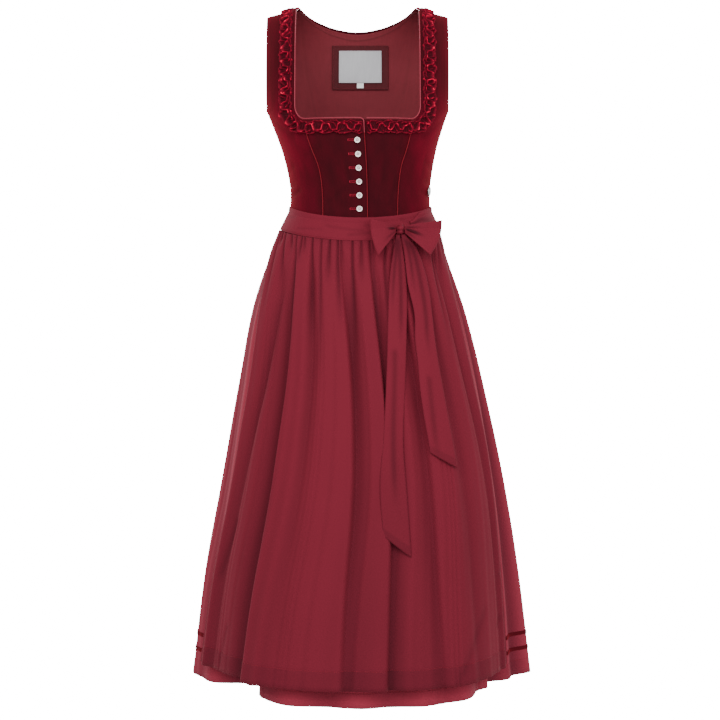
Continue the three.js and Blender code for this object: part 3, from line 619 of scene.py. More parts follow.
bodice_creases = [
    # from angle and height, to angle and height, width, depth
    (-83, -318, -58, -302, 4.5, 1.3),
    (-88, -300, -66, -292, 4, 0.9),
    (-80, -276, -62, -262, 5, 0.8),
    (-74, -186, -52, -214, 6, 0.9),
    (80, -314, 60, -304, 4.5, 1.2),
    (86, -292, 64, -286, 4.5, 0.9),
    (78, -268, 60, -256, 5, 0.7),
    (73, -184, 50, -216, 6, 0.8),
    (-26, -322, -12, -300, 5, 0.6),
    (24, -326, 30, -296, 5, 0.6),
    (-44, -246, -30, -232, 7, 0.5),
    (42, -250, 28, -234, 7, 0.5),
    (108, -322, 142, -312, 5, 1.3),
    (112, -300, 150, -296, 5.5, 1.1),
    (120, -274, 148, -282, 5.5, 0.9),
    (160, -318, 196, -316, 6, 0.8),
    (210, -312, 246, -320, 5, 1.2),
    (214, -294, 250, -302, 5.5, 1.1),
    (216, -270, 240, -276, 6, 0.8),
    (118, -150, 146, -176, 7, 0.8),
    (242, -148, 214, -178, 7, 0.8),
]
creases_in_mm = [(a * degree_mm, b, c * degree_mm, d, *form) for a, b, c, d, *form in bodice_creases]


def on_velvet(angle, run, out=0.0):
    """The bodice's face with its creases, the mark "fold" for painted shade in them, and the mark "edge" for
    a painted sheen where it turns away from the front.
    """
    degrees = np.degrees(angle)
    degrees = np.where(degrees < -95, degrees + 360, degrees)
    height = height_at(run)
    depth = creased(creases_in_mm, degrees * degree_mm, height)
    beside = ease(np.abs(degrees), 24, 62) * (1 - ease(np.abs(degrees), 118, 150))  # between front and back
    on_strap = ease(height, -190, -120) * (run < ridge_run)  # there it shows only near the armhole
    strap = 0.04 + 0.5 * ease(np.abs(on_bodice(angle, run)[..., 0]), 138, 153) ** 2
    # painted sheen: brighter between front and back, and on the strap only near the armhole
    turned = beside * mix(1.0, strap, on_strap) * (0.75 + 0.25 * np.sin(height / 31 + 2))
    return on_bodice(angle, run, out - depth), {"fold": np.clip(depth / 1.6, 0, 1), "edge": turned}


neck_corner_wide, neck_corner_high = 18, 24


def neck_edge_x(level):
    above = (level - neckline) / neck_corner_high
    corner = neck_corner_x + neck_corner_wide * np.sin(np.arccos(np.clip(1 - above, 0, 1)))
    return np.where(above <= 0, front_seam_x(level), corner)


def side_angle(level):
    armhole = angle_of(153.5, run_at(level))
    return np.where(level <= underarm, np.pi / 2, np.minimum(armhole, np.pi / 2))


# %% Side panels
side_levels = [
    np.linspace(waist, neckline, 44),
    neckline + neck_corner_high * (1 - np.cos(np.radians(np.arange(6, 91, 7)))),
    [-173.2, -172, -170, -167],  # where the armhole begins
    np.linspace(-162, -104, 16),
    arch * (np.sin(np.radians(np.append(np.arange(3, 90, 3.5), 89.9))) - 1),
]
side_levels = np.unique(np.round(np.concatenate(side_levels), 1))


def side_panel(sign, on_back):
    def place(u, level):
        run = run_at(level)
        toward = u if sign > 0 else 1 - u
        if on_back:
            angle = mix(np.pi - side_angle(level), angle_of(back_seam_x(level), run, True), toward)
        else:
            angle = mix(angle_of(neck_edge_x(level), run), side_angle(level), toward)
        return on_velvet(sign * angle, follow_waist(level, sign * angle))

    return place


def lay_panel(node, rule, across, up, roll=0.8, back=lining_cloth):
    """A panel of the bodice: velvet outside, and lining inside where it has one."""
    lay_cloth(node, "velvet", (rule, across, up), velvet_cloth, "velvet", wall=2, roll=roll, back=back)


for side, sign in (("right", -1), ("left", 1)):
    for where, on_back in (("front", False), ("back", True)):
        lay_panel(f"side_{where}_{side}", side_panel(sign, on_back), close_to_edges(34), side_levels)


# %% Centre back
# distance from the middle, height
neck_points = [(0, -21.5), (17, -20.6), (32, -18.4), (48, -15), (63, -10), (76, -4.5), (88, 2.5), (99, 10)]
back_neck = curve(neck_points, 1)


def level_at(x, height):
    """The level of the back at which the cloth reaches a height, found by halving."""
    low, high = underarm + 0 * (x + height), 0 * (x + height) + 0.0
    for _ in range(24):
        middle = (low + high) / 2
        run = run_at(middle)
        under = bodice_point(angle_of(x, run, True), run)[..., 2] < height
        low, high = np.where(under, middle, low), np.where(under, high, middle)
    return (low + high) / 2


def centre_back_place(u, v):
    across = 1 - 2 * u
    neck_x = np.abs(across) * 99
    top = np.where(np.abs(across) < 1, level_at(neck_x, back_neck(neck_x)), -1e-4)
    level = height_at(mix(run_at(waist), run_at(top), v))
    angle = angle_of(across * back_seam_x(level), run_at(level), True)
    return angle, follow_waist(level, angle)


def centre_back(u, v):
    return on_velvet(*centre_back_place(u, v))


lay_panel("centre_back", centre_back, close_to_edges(48), close_to_edges(80), back=None)

# %% [markdown]
# The wearer's right front laps over the left one. The lapped edge is lifted by the cloth under it, so the
# buttons sit on a slight step. The buttonholes pull the edge in a little at each button.

# %% Centre fronts
button_levels = [-221.6 - 22.4 * i for i in range(6)]
placket_lift = 2.9
button_from_edge = 13.6


def placket_x(level):
    return mix(12.5, 10.4, (level - waist) / (neckline - waist))


def lift_at(x):
    return placket_lift * ease(x, -44, -15)


def centre_front_right(u, level):
    x = mix(-front_seam_x(level), placket_x(level), u)
    angle = angle_of(x, run_at(level))
    pulls = sum(np.exp(-(((level - at) / 5) ** 2)) for at in button_levels)
    pull = 0.55 * pulls * np.exp(-(((x + 14) / 16) ** 2))
    return on_velvet(angle, follow_waist(level, angle), lift_at(x) - pull)


def centre_front_left(u, level):
    x = mix(placket_x(level) - 22, front_seam_x(level), u)
    angle = angle_of(x, run_at(level))
    return on_velvet(angle, follow_waist(level, angle))


front_levels = close_to_edges(76, waist, neckline)
for node, place in (("centre_front_right", centre_front_right), ("centre_front_left", centre_front_left)):
    lay_panel(node, place, close_to_edges(40), front_levels, roll=0.7)
print("centre fronts with", len(button_levels), "buttonholes")

# %% [markdown]
# ## Inside the back
#
# Through the neckline the lining shows, with a narrow facing along the back neck. A dark red patch is sewn
# on it, with a grey woven label and a small size tag. Both are left bare.

# %% Lining, patch and labels
lining_out = -4.0


def back_lining(across, v):
    shown = v * 0.99
    centre_angle, centre_run = centre_back_place((1 - np.clip(across, -1, 1)) / 2, shown)
    level = height_at(mix(run_at(waist), run_at(-1e-4), shown))
    inner = angle_of(back_seam_x(level), run_at(level), True)
    outer = mix(inner, np.pi - side_angle(level), np.abs(across) - 1)
    angle = np.where(np.abs(across) <= 1, centre_angle, np.sign(across) * outer)
    run = np.where(np.abs(across) <= 1, centre_run, follow_waist(level, angle))
    from_top = (run[-1:] - run) - 8
    seam = np.exp(-((from_top / 0.9) ** 2))
    princess = np.exp(-(((np.abs(across) - 1) / 0.02) ** 2))
    centre_fold = np.exp(-((across / 0.015) ** 2))
    depth = 0.35 * seam + 0.12 * princess + 0.08 * centre_fold
    # the mark "fold" paints shade along the facing seam and the princess seams
    return on_bodice(angle, run, lining_out - depth), {"fold": np.clip(0.8 * seam + 0.15 * princess, 0, 1)}


beyond_seam = np.append(np.linspace(1.92, 1.06, 24), [1.03, 1.01])
lining_columns = np.concatenate([beyond_seam, np.linspace(1, -1, 61), -beyond_seam[::-1]])
lining_rows = np.concatenate([np.linspace(0, 0.93, 60), np.linspace(0.934, 1, 22)])
grid = (back_lining, lining_columns, lining_rows)
lay_cloth("back_lining", "cloth", grid, lining_cloth, "lining", wall=1)

label_centre = 5


def inside_back(half, low, high, layer, pucker):
    def place(u, v):
        x = label_centre + mix(half, -half, u)
        run = run_at(level_at(x, mix(low, high, v)))
        edge = np.minimum(np.minimum(u, 1 - u) * 2 * half, np.minimum(v, 1 - v) * (high - low))
        puckered = pucker * np.exp(-edge / 3) * (np.sin(u * half * 1.3) + np.sin(v * (high - low) * 0.7))
        out = lining_out - 2.5 - layer * 1.8 + puckered
        return on_bodice(angle_of(x, run, True), run, out)

    return place


inside_pieces = [
    # node, half the width, from height, to height, layer, pucker, finish, slot
    ("label_patch", 50, -122, -44, 0, 0.2, patch_cloth, "velvet"),
    ("label", 38, -110, -53, 1, 0.12, label_cloth, "label"),
    ("size_tag", 6, -119, -110.4, 1, 0.05, tag_cloth, "label"),
]
for node, half, low, high, layer, pucker, finish, slot in inside_pieces:
    grid = (inside_back(half, low, high, layer, pucker), close_to_edges(40), close_to_edges(30))
    lay_cloth(node, "cloth", grid, finish, slot, wall=1, roll=0.3)

# %% [markdown]
# ## The neckline
#
# A ribbon of velvet is pleated and caught together so that its folds open like a row of little mouths. From
# the front it reads as two wavy standing edges that cross and part, with hooks along both rims. So the trim
# is one strip with four wavy folds standing on it, each steep and narrow and leaning outward at its top.
# The mark "edge" paints a highlight along their crests, and "fold" paints shade in the hollows between them.

# %% Beside the neckline
trim_side, trim_corner = 0.62, 0.14
neck_side_x = neck_corner_x + neck_corner_wide


def beside_neckline(s, w, sign, end_x):
    """A place beside the neckline: s from the shoulder (0) to the front edge (1), w outward in mm."""
    corner_top = neckline + neck_corner_high
    turn = np.radians(90) * np.clip(1 - (s - trim_side) / trim_corner, 0, 1)
    level = corner_top - (neck_corner_high + w) * np.cos(turn)
    corner_x = neck_corner_x + (neck_corner_wide + w) * np.sin(turn)
    rest = np.clip((s - trim_side - trim_corner) / (1 - trim_side - trim_corner), 0, 1)
    front_x = mix(sign * corner_x, end_x, rest)
    on_side = s <= trim_side
    run = np.where(on_side, mix(ridge_run - 1, run_at(corner_top), s / trim_side), run_at(level))
    x = np.where(on_side, sign * (neck_side_x + w), front_x)
    lift = np.where(on_side | (sign > 0), 0, lift_at(x))
    angle = angle_of(x, np.minimum(run, ridge_run))
    over = run > ridge_run
    return np.where(over, np.pi - angle, angle), np.where(over, 2 * ridge_run - run, run), lift


# %% Ruched trim
mouths = 15
trim_length = 345.0
past_shoulder = 0.017


def wander(s, seed, harmonics=(3, 7, 12, 19, 31)):
    """A slow unevenness along the trim, between about -1 and 1."""
    rng = np.random.default_rng(seed)
    total = 0 * s
    for harmonic in harmonics:
        total = total + rng.uniform(0.3, 0.8) * np.sin(2 * np.pi * (harmonic * s + rng.random()))
    return total / 1.4


def standing_fold(w, middle, s, wide, tall):
    """A fold that stands along a line: its height, and how near its crest a place is."""
    slope = np.gradient(middle, axis=1) / np.maximum(np.gradient(s * trim_length, axis=1), 1e-6)
    away = np.abs(w - middle) / np.sqrt(1 + slope * slope) / wide
    crest = np.exp(-(away**1.8))
    return tall * crest, crest


def ruched_trim(sign, end_x):
    seed = 40 if sign > 0 else 70
    middle_line, outer_line, inner_line = 12.7, 20.9, 4.7

    def place(s, share):
        phase = 2 * np.pi * mouths * s + 0.55 * wander(s, seed)
        swing = np.tanh(1.6 * np.sin(phase)) / np.tanh(1.6)
        outer = 22.3 - 1.2 * np.sin(phase) + 0.5 * wander(s, seed + 1, (23, 37, 51))
        inner = 3.2 - 1.2 * np.sin(phase) + 0.5 * wander(s, seed + 2, (23, 37, 51)) - 10 * ease(-s, 0, 0.01)
        w = mix(inner, outer, share)
        warped = w + 0.7 * np.sin(w / 1.9 + 4 * wander(s, seed + 3)) * wander(s, seed + 4, (29, 43, 61))
        tall = 1 + 0.22 * wander(s, seed + 5, (11, 21, 33))
        gate = ease(np.sin(phase + 0.7 + 0.8 * wander(s, seed + 6)) ** 2, 0.1, 0.7)
        folds = [
            # middle, width, height
            (middle_line + 4.4 * swing + 0.5 * wander(s, seed + 7, (17, 41)), 1.1, 4.9 * tall),
            (middle_line - 6.4 * np.sin(phase + 0.8), 0.85, 4.3 * gate * tall),
            (outer_line - 1.3 * np.sin(phase) + 0.6 * np.sin(3 * phase + 1), 0.9, 3.6 * tall),
            (inner_line - 1.3 * np.sin(phase) + 0.6 * np.sin(3 * phase + 2), 0.9, 3.6 * tall),
        ]
        height, crest = 0 * warped, 0 * warped
        for middle, wide, high in folds:
            lifted, near = standing_fold(warped, middle + 0 * s, s, wide, high)
            height = height + np.abs(lifted) ** 5
            crest = np.maximum(crest, near * np.clip(high / 4.5, 0, 1.2))
        height = height**0.2
        pleat = np.sin(2 * np.pi * mouths * 6 * s + 1.6 * np.sin(w / 2.3)) * np.sin(np.pi * share)
        height = height + 0.3 * pleat + 0.9
        on_shoulder = 0.8 * ease(0.04 - np.abs(s), 0, 0.03)
        height = mix(height, 4.2, on_shoulder)
        ends = ease(np.minimum(w - inner, outer - w), -0.2, 1.2)
        ends = ends * ease((s + past_shoulder) * trim_length, 0, 2.5) * ease((1 - s) * trim_length, 0, 1.2)
        lean = 1.5 * (share - 0.5) * 2 * (height / 5) ** 2
        angle, run, lift = beside_neckline(s, w + lean, sign, end_x)
        # painted highlight on the crests, stronger in some places than in others; painted shade low between
        # the folds
        tone_and_painted_light = np.clip(0.35 + 0.9 * wander(s + 0 * w, seed + 8, (27, 47, 67)), 0, 1)
        bright = np.clip(crest, 0, 1) ** 7 * tone_and_painted_light
        shade = np.clip(1.0 - height / 3.4, 0, 1) ** 1.3
        return on_bodice(angle, run, lift + 0.3 + height * ends), {"edge": bright, "fold": shade}

    return place


for side, sign, end_x in (("right", -1, 7.4), ("left", 1, 13.5)):
    grid = (ruched_trim(sign, end_x), np.linspace(-past_shoulder, 1, 581), np.linspace(0, 1, 47)[::sign])
    lay_cloth(f"neck_trim_{side}", "ruched", grid, trim_velvet, "trim")


# %% Piping
def cord(path, outward, radius, ripple):
    """A round cord on a path. The first turn of its ring faces outward."""
    forward_way = unit(np.gradient(path, axis=0))
    sideways = unit(np.cross(forward_way, outward))
    outward = np.cross(sideways, forward_way)

    def place(turn, v):
        i = np.rint(v * (len(path) - 1)).astype(int)
        r = (radius + ripple * np.sin(2.4 * i))[..., None]
        ring = np.cos(turn)[..., None] * outward[i] + np.sin(turn)[..., None] * sideways[i]
        return path[i] + ring * r

    return place


def lay_cord(node, angle, run, out, radius, finish):
    rule = cord(on_bodice(angle, run, out), bodice_normal(angle, run), radius, 0.05)
    grid = (rule, np.linspace(0, 2 * np.pi, 11), np.linspace(0, 1, len(run)))
    lay_cloth(node, "satin", grid, finish, "piping", ring=True, cap=12)


def along_back_neck(sign):
    """The first piece of the back neckline, up to the shoulder, where the neck piping starts."""
    x = np.linspace(74, 96.5, 16)
    run = run_at(level_at(x, back_neck(x) + 0.4))
    angle = sign * angle_of(x, run, True)
    return angle, run, np.linspace(-2.4, -0.4, 16)


def placket_corner():
    """The lapped edge's corner, where the neck piping turns down to join the placket's."""
    turn = np.radians(np.linspace(0, 90, 12))
    level = np.append(neckline - 5 + 6.6 * np.cos(turn), [neckline - 10, neckline - 16, neckline - 22])
    x = np.append(placket_x(neckline - 5) - 7.4 + 6.6 * np.sin(turn), placket_x(level[12:]) - 0.9)
    run = run_at(level)
    return angle_of(x, run), run, np.linspace(0, 0.9, 15) + lift_at(x)


for side, sign, end_x in (("right", -1, 2.0), ("left", 1, 14)):
    s = np.linspace(0.004, 1, 230)
    turned_in = -1.7 - 5.5 * (1 - ease(s, 0, 0.035)) ** 2
    stretches = [along_back_neck(sign), beside_neckline(s, turned_in, sign, end_x)]
    if sign < 0:
        stretches.append(placket_corner())
    angle, run, lift = (np.concatenate(values) for values in zip(*stretches))
    lay_cord(f"neck_piping_{side}", angle, run, lift - 0.5, 0.78, rose_satin)


def seam_piping(node, x_at, foot_angle, out):
    level = np.linspace(float(waist_at(foot_angle)) + 5, neckline - 22, 90)
    run = run_at(level)
    lay_cord(node, angle_of(x_at(level), run), run, out, 0.75, red_satin)


for side, sign in (("right", -1), ("left", 1)):
    foot_angle = angle_of(front_seam_x(waist), run_at(waist))
    seam_piping(f"front_piping_{side}", lambda level: sign * front_seam_x(level), foot_angle, 0.7)
seam_piping("placket_piping", lambda level: placket_x(level) - 0.9, 0.0, 3.4)

# %% [markdown]
# ## Buttons
#
# A pearl button is a turned form, so its profile is drawn once and spun. A low rosette is then raised in
# its middle, and the mark "fold" paints shade in a ring round it and at its rim, and darkens its middle a
# little. The metal button at the side is the same turning with a plain face.


# %% Turned buttons
button_profile = [
    # share of the radius, height in mm
    (0.0, 1.9), (0.14, 2.0), (0.28, 1.8), (0.42, 1.05), (0.58, 0.9), (0.7, 1.3), (0.79, 2.2),
    (0.88, 2.5), (0.96, 2.2), (1.0, 1.5), (0.97, 0.8), (0.85, 0.35), (0.6, 0.1), (0.0, 0.0),
]


def turned_button(node, kind, finish, slot, radius, angle, run, out, petals):
    """A button turned about its middle, in mm, and seated on the bodice at an angle and a run."""
    bm = bmesh.new()
    line = [bm.verts.new((r * radius, 0, h)) for r, h in button_profile]
    edges = [bm.edges.new(pair) for pair in zip(line, line[1:])]
    bmesh.ops.spin(
        bm, geom=line + edges, cent=(0, 0, 0), axis=(0, 0, 1), angle=2 * math.pi, steps=40, use_merge=True
    )
    bmesh.ops.remove_doubles(bm, verts=bm.verts, dist=1e-5)
    for vertex in bm.verts:
        away = math.hypot(vertex.co.x, vertex.co.y) / radius
        turn = math.atan2(vertex.co.y, vertex.co.x)
        if vertex.co.z > 1 and petals:
            vertex.co.z += 0.35 * math.cos(petals * turn) * math.exp(-(((away - 0.3) / 0.13) ** 2))
    bmesh.ops.recalc_face_normals(bm, faces=bm.faces)
    centre = on_bodice(np.float64(angle), np.float64(run), out) / 1000
    normal = Vector(bodice_normal(np.float64(angle), np.float64(run)))
    turned = Vector((0, 0, 1)).rotation_difference(normal).to_matrix().to_4x4()
    seated = Matrix.Translation(centre) @ turned @ Matrix.Scale(0.001, 4)
    bmesh.ops.transform(bm, matrix=seated, verts=bm.verts)
    button = piece_from(bm, f"{node}_{kind}", finish)
    from_centre = (np.array([vertex.co for vertex in button.data.vertices]) - centre) * 1000 / radius
    raised = from_centre @ np.array(normal)
    away = np.linalg.norm(from_centre - raised[:, None] * np.array(normal), axis=1)
    # painted shade in the groove round the rosette and at the rim, and a slightly darker middle
    groove = np.exp(-(((away - 0.38) / 0.13) ** 2)) + 0.25 * (away < 0.3) + 0.6 * (away > 0.985)
    button.data.attributes.new("fold", "FLOAT", "POINT").data.foreach_set("value", groove)
    return sewn_in(button, slot, node)


pearl_radius, metal_radius = 4.8, 7.8
button_seats = [0.25, 0.35, 0.5, 0.55, 0.75, 0.95]
for number, (level, seat) in enumerate(zip(button_levels, button_seats), 1):
    run = float(run_at(level))
    angle = float(angle_of(placket_x(level) - button_from_edge, run))
    spot = (angle, run, placket_lift + seat)
    turned_button(f"button_{number}", "pearl", pearl_button, "button", pearl_radius, *spot, petals=6)
spot = (math.radians(74.5), float(run_at(-303)), 0.9)
turned_button("side_button", "plain", metal_button, "metal", metal_radius, *spot, petals=0)
print("buttons turned:", len(button_levels) + 1)


# %% [markdown]
# ## Stitches
#
# A stitch is a short, round thread that sinks at both ends. One small ball is drawn out along the seam and
# repeated. Each has only twenty faces, because there are hundreds of them.


# %% Lines of stitches
def stitches(name, rows, finish, slot):
    """rows holds a centre, a direction, a normal, a length and a thickness for each stitch, in mm."""
    bm = bmesh.new()
    for centre, direction, normal, length, thick in rows:
        along = Vector(direction).normalized()
        out = Vector(normal).normalized()
        aside = out.cross(along).normalized()
        out = along.cross(aside)
        turn = Matrix((along, aside, out)).transposed().to_4x4()
        size = Matrix.Diagonal((length / 2000, thick / 2000, thick / 2000, 1))
        matrix = Matrix.Translation(Vector(centre) / 1000) @ turn @ size
        bmesh.ops.create_icosphere(bm, subdivisions=1, radius=1, matrix=matrix)
    return sewn_in(piece_from(bm, name, finish), slot)


def seam_of_stitches(path, normals, pitch=3.4, length=2.4, thick=0.55):
    """Evenly spaced stitches along a path that is given by many points."""
    walked = path_length(path)
    count = int(walked[-1] // pitch)
    at = (np.arange(count) + 0.5) * walked[-1] / count
    ways = unit(np.gradient(path, axis=0))

    def read(values):
        return np.stack([np.interp(at, walked, values[:, k]) for k in range(3)], axis=1)

    centres, directions, outs = read(path), read(ways), read(normals)
    return [(c, d, n, length, thick) for c, d, n in zip(centres, directions, outs)]


# %% Buttonholes
rows = []
for level, seat in zip(button_levels, button_seats):
    for up in (-1, 1):
        for k in range(9):
            run = run_at(level + up * 1.2)
            x = placket_x(level) - button_from_edge - 14.6 + k * 1.4
            angle = angle_of(x, run)
            centre = on_bodice(angle, run, lift_at(x) + 0.25)
            rows.append((centre, (0, 0, 1), bodice_normal(angle, run), 2.7, 0.9))
    run = run_at(level)
    x = placket_x(level) - button_from_edge - 15.3
    centre = on_bodice(angle_of(x, run), run, lift_at(x) + 0.4)
    rows.append((centre, (0, 0, 1), bodice_normal(angle_of(x, run), run), 4.6, 1.3))
stitches("buttonhole_stitches", rows, bright_thread, "piping")


def around_inside(half, low, high, inset, out):
    """A line of stitches round a piece that is sewn inside the back."""
    x0, x1, z0, z1 = label_centre + half - inset, label_centre - half + inset, low + inset, high - inset
    corners = [(x0, z0), (x0, z1), (x1, z1), (x1, z0), (x0, z0)]
    found = []
    for (xa, za), (xb, zb) in zip(corners, corners[1:]):
        t = np.linspace(0, 1, 24)
        x, z = mix(xa, xb, t), mix(za, zb, t)
        run = run_at(level_at(x, z))
        angle = angle_of(x, run, True)
        path, normals = on_bodice(angle, run, out), -bodice_normal(angle, run)
        found += seam_of_stitches(path, normals, 3.0, 2.2, 0.5)
    return found


patch, label = (row[1:4] for row in inside_pieces[:2])
patch_rows = around_inside(*patch, 2.2, lining_out - 3.6)
label_rows = around_inside(*label, 1.5, lining_out - 5.4)
stitches("label_patch_stitches", patch_rows, thread, "velvet")
stitches("label_stitches", label_rows, pale_thread, "label")
print("stitches:", len(rows), "at the buttonholes,", len(patch_rows) + len(label_rows), "inside")

# %% [markdown]
# ## The skirt
#
# The skirt is gathered into the waist seam and falls free. Close to the waist the cloth makes many small
# gathers. Lower down they join into fewer, deeper folds, and the hem swings out. The rule below has all
# three: the outer form, the uneven gathers, and the few deep folds that give the hem its line. A table's
# first column, fall, is 0 at the waist and 1 at the hem.

# %% Skirt form
skirt_sections = [
    # fall, half the width, forward, back, shift, squareness
    (0, 118, 98, 88, 4.5, 0.2),
    (0.04, 133, 108, 104, 4, 0.18),
    (0.11, 155, 128, 134, 0.5, 0.14),
    (0.22, 184, 153, 163, 1, 0.1),
    (0.38, 212, 180, 188, 5, 0.05),
    (0.6, 246, 210, 214, 7.5, 0.02),
    (0.8, 273, 233, 234, 4.5, 0),
    (1, 293, 253, 250, 3.5, 0),
]
skirt_half, skirt_forward, skirt_backward, skirt_shift, skirt_square = (
    curve(skirt_sections, column) for column in (1, 2, 3, 4, 5)
)
# place in degrees, width in degrees, depth at the hem in mm
skirt_hollows = [(-58, 17, 42), (58, 17, 42)]
deep_folds = [(-47, 11, 46), (74, 9, 16), (128, 12, 22), (176, 14, 18), (-132, 12, 24), (-92, 9, 10)]
fold_rows = [
    # fall, depth of the gathers, depth of the folds
    (0, 0.3, 0),
    (0.04, 0.9, 0.2),
    (0.1, 2.6, 1.6),
    (0.25, 1.2, 4.5),
    (0.5, 0, 7.5),
    (1, 0, 11),
]
gather_depth, fold_depth = curve(fold_rows, 1), curve(fold_rows, 2)
skirt_length = waist - hem


def fallen_in(rows, angle):
    total = 0 * angle
    for degrees, width, depth in rows:
        off = angle - np.radians(degrees)
        away = np.arctan2(np.sin(off), np.cos(off)) / np.radians(width)
        total = total + depth * np.exp(-away * away)
    return total


def skirt_form(angle, fall, out):
    half = skirt_half(fall)
    facing = np.cos(angle)
    depth = np.where(facing > 0, skirt_forward(fall), skirt_backward(fall))
    x = skirt_shift(fall) + half * np.sin(angle)
    y = -depth * facing * (1 + skirt_square(fall) * np.sin(angle) ** 2)
    z = mix(waist_at(angle), hem, fall)
    outward = unit(point(np.sin(angle) * depth, -facing * half, 0 * fall))
    move = out - fallen_in(skirt_hollows, angle) * np.maximum(fall, 0) ** 1.6
    return point(x, y, z) + outward * move[..., None]


def skirt_in(turn, angle, fall):
    """How far the gathers and folds take the skirt inward from its outer form."""
    low = np.maximum(fall, 0)
    reach = low * (1 + 0.35 * np.sin(2 * np.pi * (7 * turn + 0.1)) * np.sin(2 * np.pi * (3 * turn + 0.4)))
    gather = 2 * gather_depth(reach) * uneven(turn, 46, 3, 0.5)
    fine = 0.7 * np.exp(-low / 0.12) * ease(low, 0, 0.03) * uneven(turn, 97, 5, 0.5)
    swing = 1 - np.cos(np.pi * 40 * turn + 0.5 * np.sin(2 * np.pi * (3 * turn + 0.2)) * low)
    own = 0.8 + 0.3 * np.sin(2 * np.pi * (5 * turn + 0.3)) * np.sin(2 * np.pi * (2 * turn + 0.15))
    under_apron = 1 - 0.6 * ease(np.cos(angle), 0.5, 0.8)
    fold = fold_depth(low) * swing * own * under_apron
    small = 1.3 * ease(low, 0.15, 0.5) * uneven(turn + 0.004 * np.sin(9 * low), 33, 11, 0.9)
    return gather + fine + fold + small + fallen_in(deep_folds, angle) * low**1.5


def angle_of_turn(turn):
    round_ = 2 * np.pi * turn
    return round_ + 0.05 * np.sin(3 * round_) + 0.03 * np.sin(5 * round_ + 1)


def skirt_point(turn, fall, out):
    angle = angle_of_turn(turn)
    inward = skirt_in(turn, angle, fall)
    return skirt_form(angle, fall, out - inward), inward


# %% Skirt halves
hem_turned = 24
skirt_face = -1.9


def skirt_cloth(turn, fall):
    angle = angle_of_turn(turn)
    from_hem = (1 - fall) * skirt_length
    doubled = ease(hem_turned - from_hem, -0.6, 0.8)
    groove = 0.5 * np.exp(-(((from_hem - hem_turned) / 1.2) ** 2))
    at_the_sides = np.abs(np.cos(angle)) < 0.4
    flare = 2.2 * np.exp(-(((fall - 0.045) / 0.025) ** 2)) * at_the_sides
    points, inward = skirt_point(turn, fall, skirt_face + 0.3 * doubled - groove + flare)
    # painted shade: the mark "fold" is darker the further the cloth lies inward, less in the few deep folds
    deep = 2.5 + 22 * np.maximum(fall, 0) ** 0.8
    open_folds = 0.6 * fallen_in(deep_folds, angle) * np.maximum(fall, 0) ** 1.5
    points = points - point(0, 0, 0.9 * (fall <= 0))
    return points, {"fold": np.clip((inward - open_folds) / deep, 0, 1), "hem": doubled * 0.35 + 0 * turn}


def falls_with_hem(count, power, turned, length):
    """Rows from the hem up, close together at the top and at the line where the hem is turned up."""
    at_turn = 1 - (turned + np.arange(2, -3, -1)) / length
    return np.unique(np.round(np.concatenate([np.linspace(0, 1, count) ** power, at_turn]), 5))[::-1]


skirt_falls = falls_with_hem(88, 1.4, hem_turned, skirt_length)
for half, start, end in (("front", -0.25, 0.25), ("back", 0.25, 0.75)):
    grid = (skirt_cloth, np.linspace(start, end, 361), skirt_falls)
    lay_cloth(f"skirt_{half}", "crepe", grid, skirt_crepe, "skirt", wall=1.2)


# %% Velvet ribbons on the skirt
ribbon_width = 6


def skirt_ribbon(above_hem):
    def place(turn, share):
        above = above_hem + (share - 0.5) * ribbon_width
        fall = 1 - above / skirt_length
        edge = np.abs(share - 0.5) * 2
        points, _ = skirt_point(turn, fall + 0 * turn, -1.6 + 0.7 - 0.35 * edge**4)
        return points

    return place


for name, above_hem in (("lower", 43), ("upper", 68)):
    grid = (skirt_ribbon(above_hem), np.linspace(-0.25, 0.75, 721), np.linspace(0, 1, 6))
    lay_cloth(f"ribbon_{name}", "velvet", grid, ribbon_velvet, "ribbon", wall=0.8, ring=True)

# %% [markdown]
# ## The apron
#
# The apron is a second gathered cloth over the front. Thirty narrow slits between its gathers run down from
# the band, and most end within a hand's width. Eight long valleys go on to the hem, some of them with one
# steep side. They are placed from the photograph: a place at the top, a place at the hem, a slope on each
# side, and a share of the full depth at each end.

# %% Apron form
apron_edges = [
    # fall, right and left edge in degrees from the front
    (0, -86, 80),
    (0.1, -71, 70),
    (0.25, -63, 65),
    (0.5, -66, 67),
    (0.75, -70.5, 67),
    (1, -73.5, 67),
]
apron_right, apron_left = curve(apron_edges, 1), curve(apron_edges, 2)
apron_relief = [
    # fall, how far it stands off the skirt, what its gathers add under the bow's tails
    (0, 1.6, 0.5),
    (0.03, 4, 1.8),
    (0.1, 8, 1.6),
    (0.25, 12, 0.7),
    (0.5, 16, 0),
    (1, 20, 0),
]
apron_stand, apron_gather = curve(apron_relief, 1), curve(apron_relief, 2)
apron_folds = [
    # place at the top and at the hem, slope right and left, depth, share at the top and at the hem
    (0.2, 0.08, 0.03, 0.022, 8, 0.9, 0.5),
    (0.235, 0.235, 0.045, 0.014, 14, 0.6, 1),
    (0.31, 0.34, 0.02, 0.02, 6, 1, 0.1),
    (0.44, 0.495, 0.018, 0.035, 12, 0.8, 0.6),
    (0.565, 0.585, 0.014, 0.03, 11, 0.9, 0.9),
    (0.66, 0.7, 0.03, 0.018, 9, 0.8, 0.6),
    (0.77, 0.81, 0.025, 0.025, 7, 0.8, 0.3),
    (0.88, 0.93, 0.02, 0.02, 6, 0.8, 0.4),
]
apron_hem, apron_hem_turned, side_hem = -1080, 31, 8
apron_top = 30.3 / skirt_length
apron_foot = (waist - apron_hem) / skirt_length
apron_length = (apron_foot - apron_top) * skirt_length


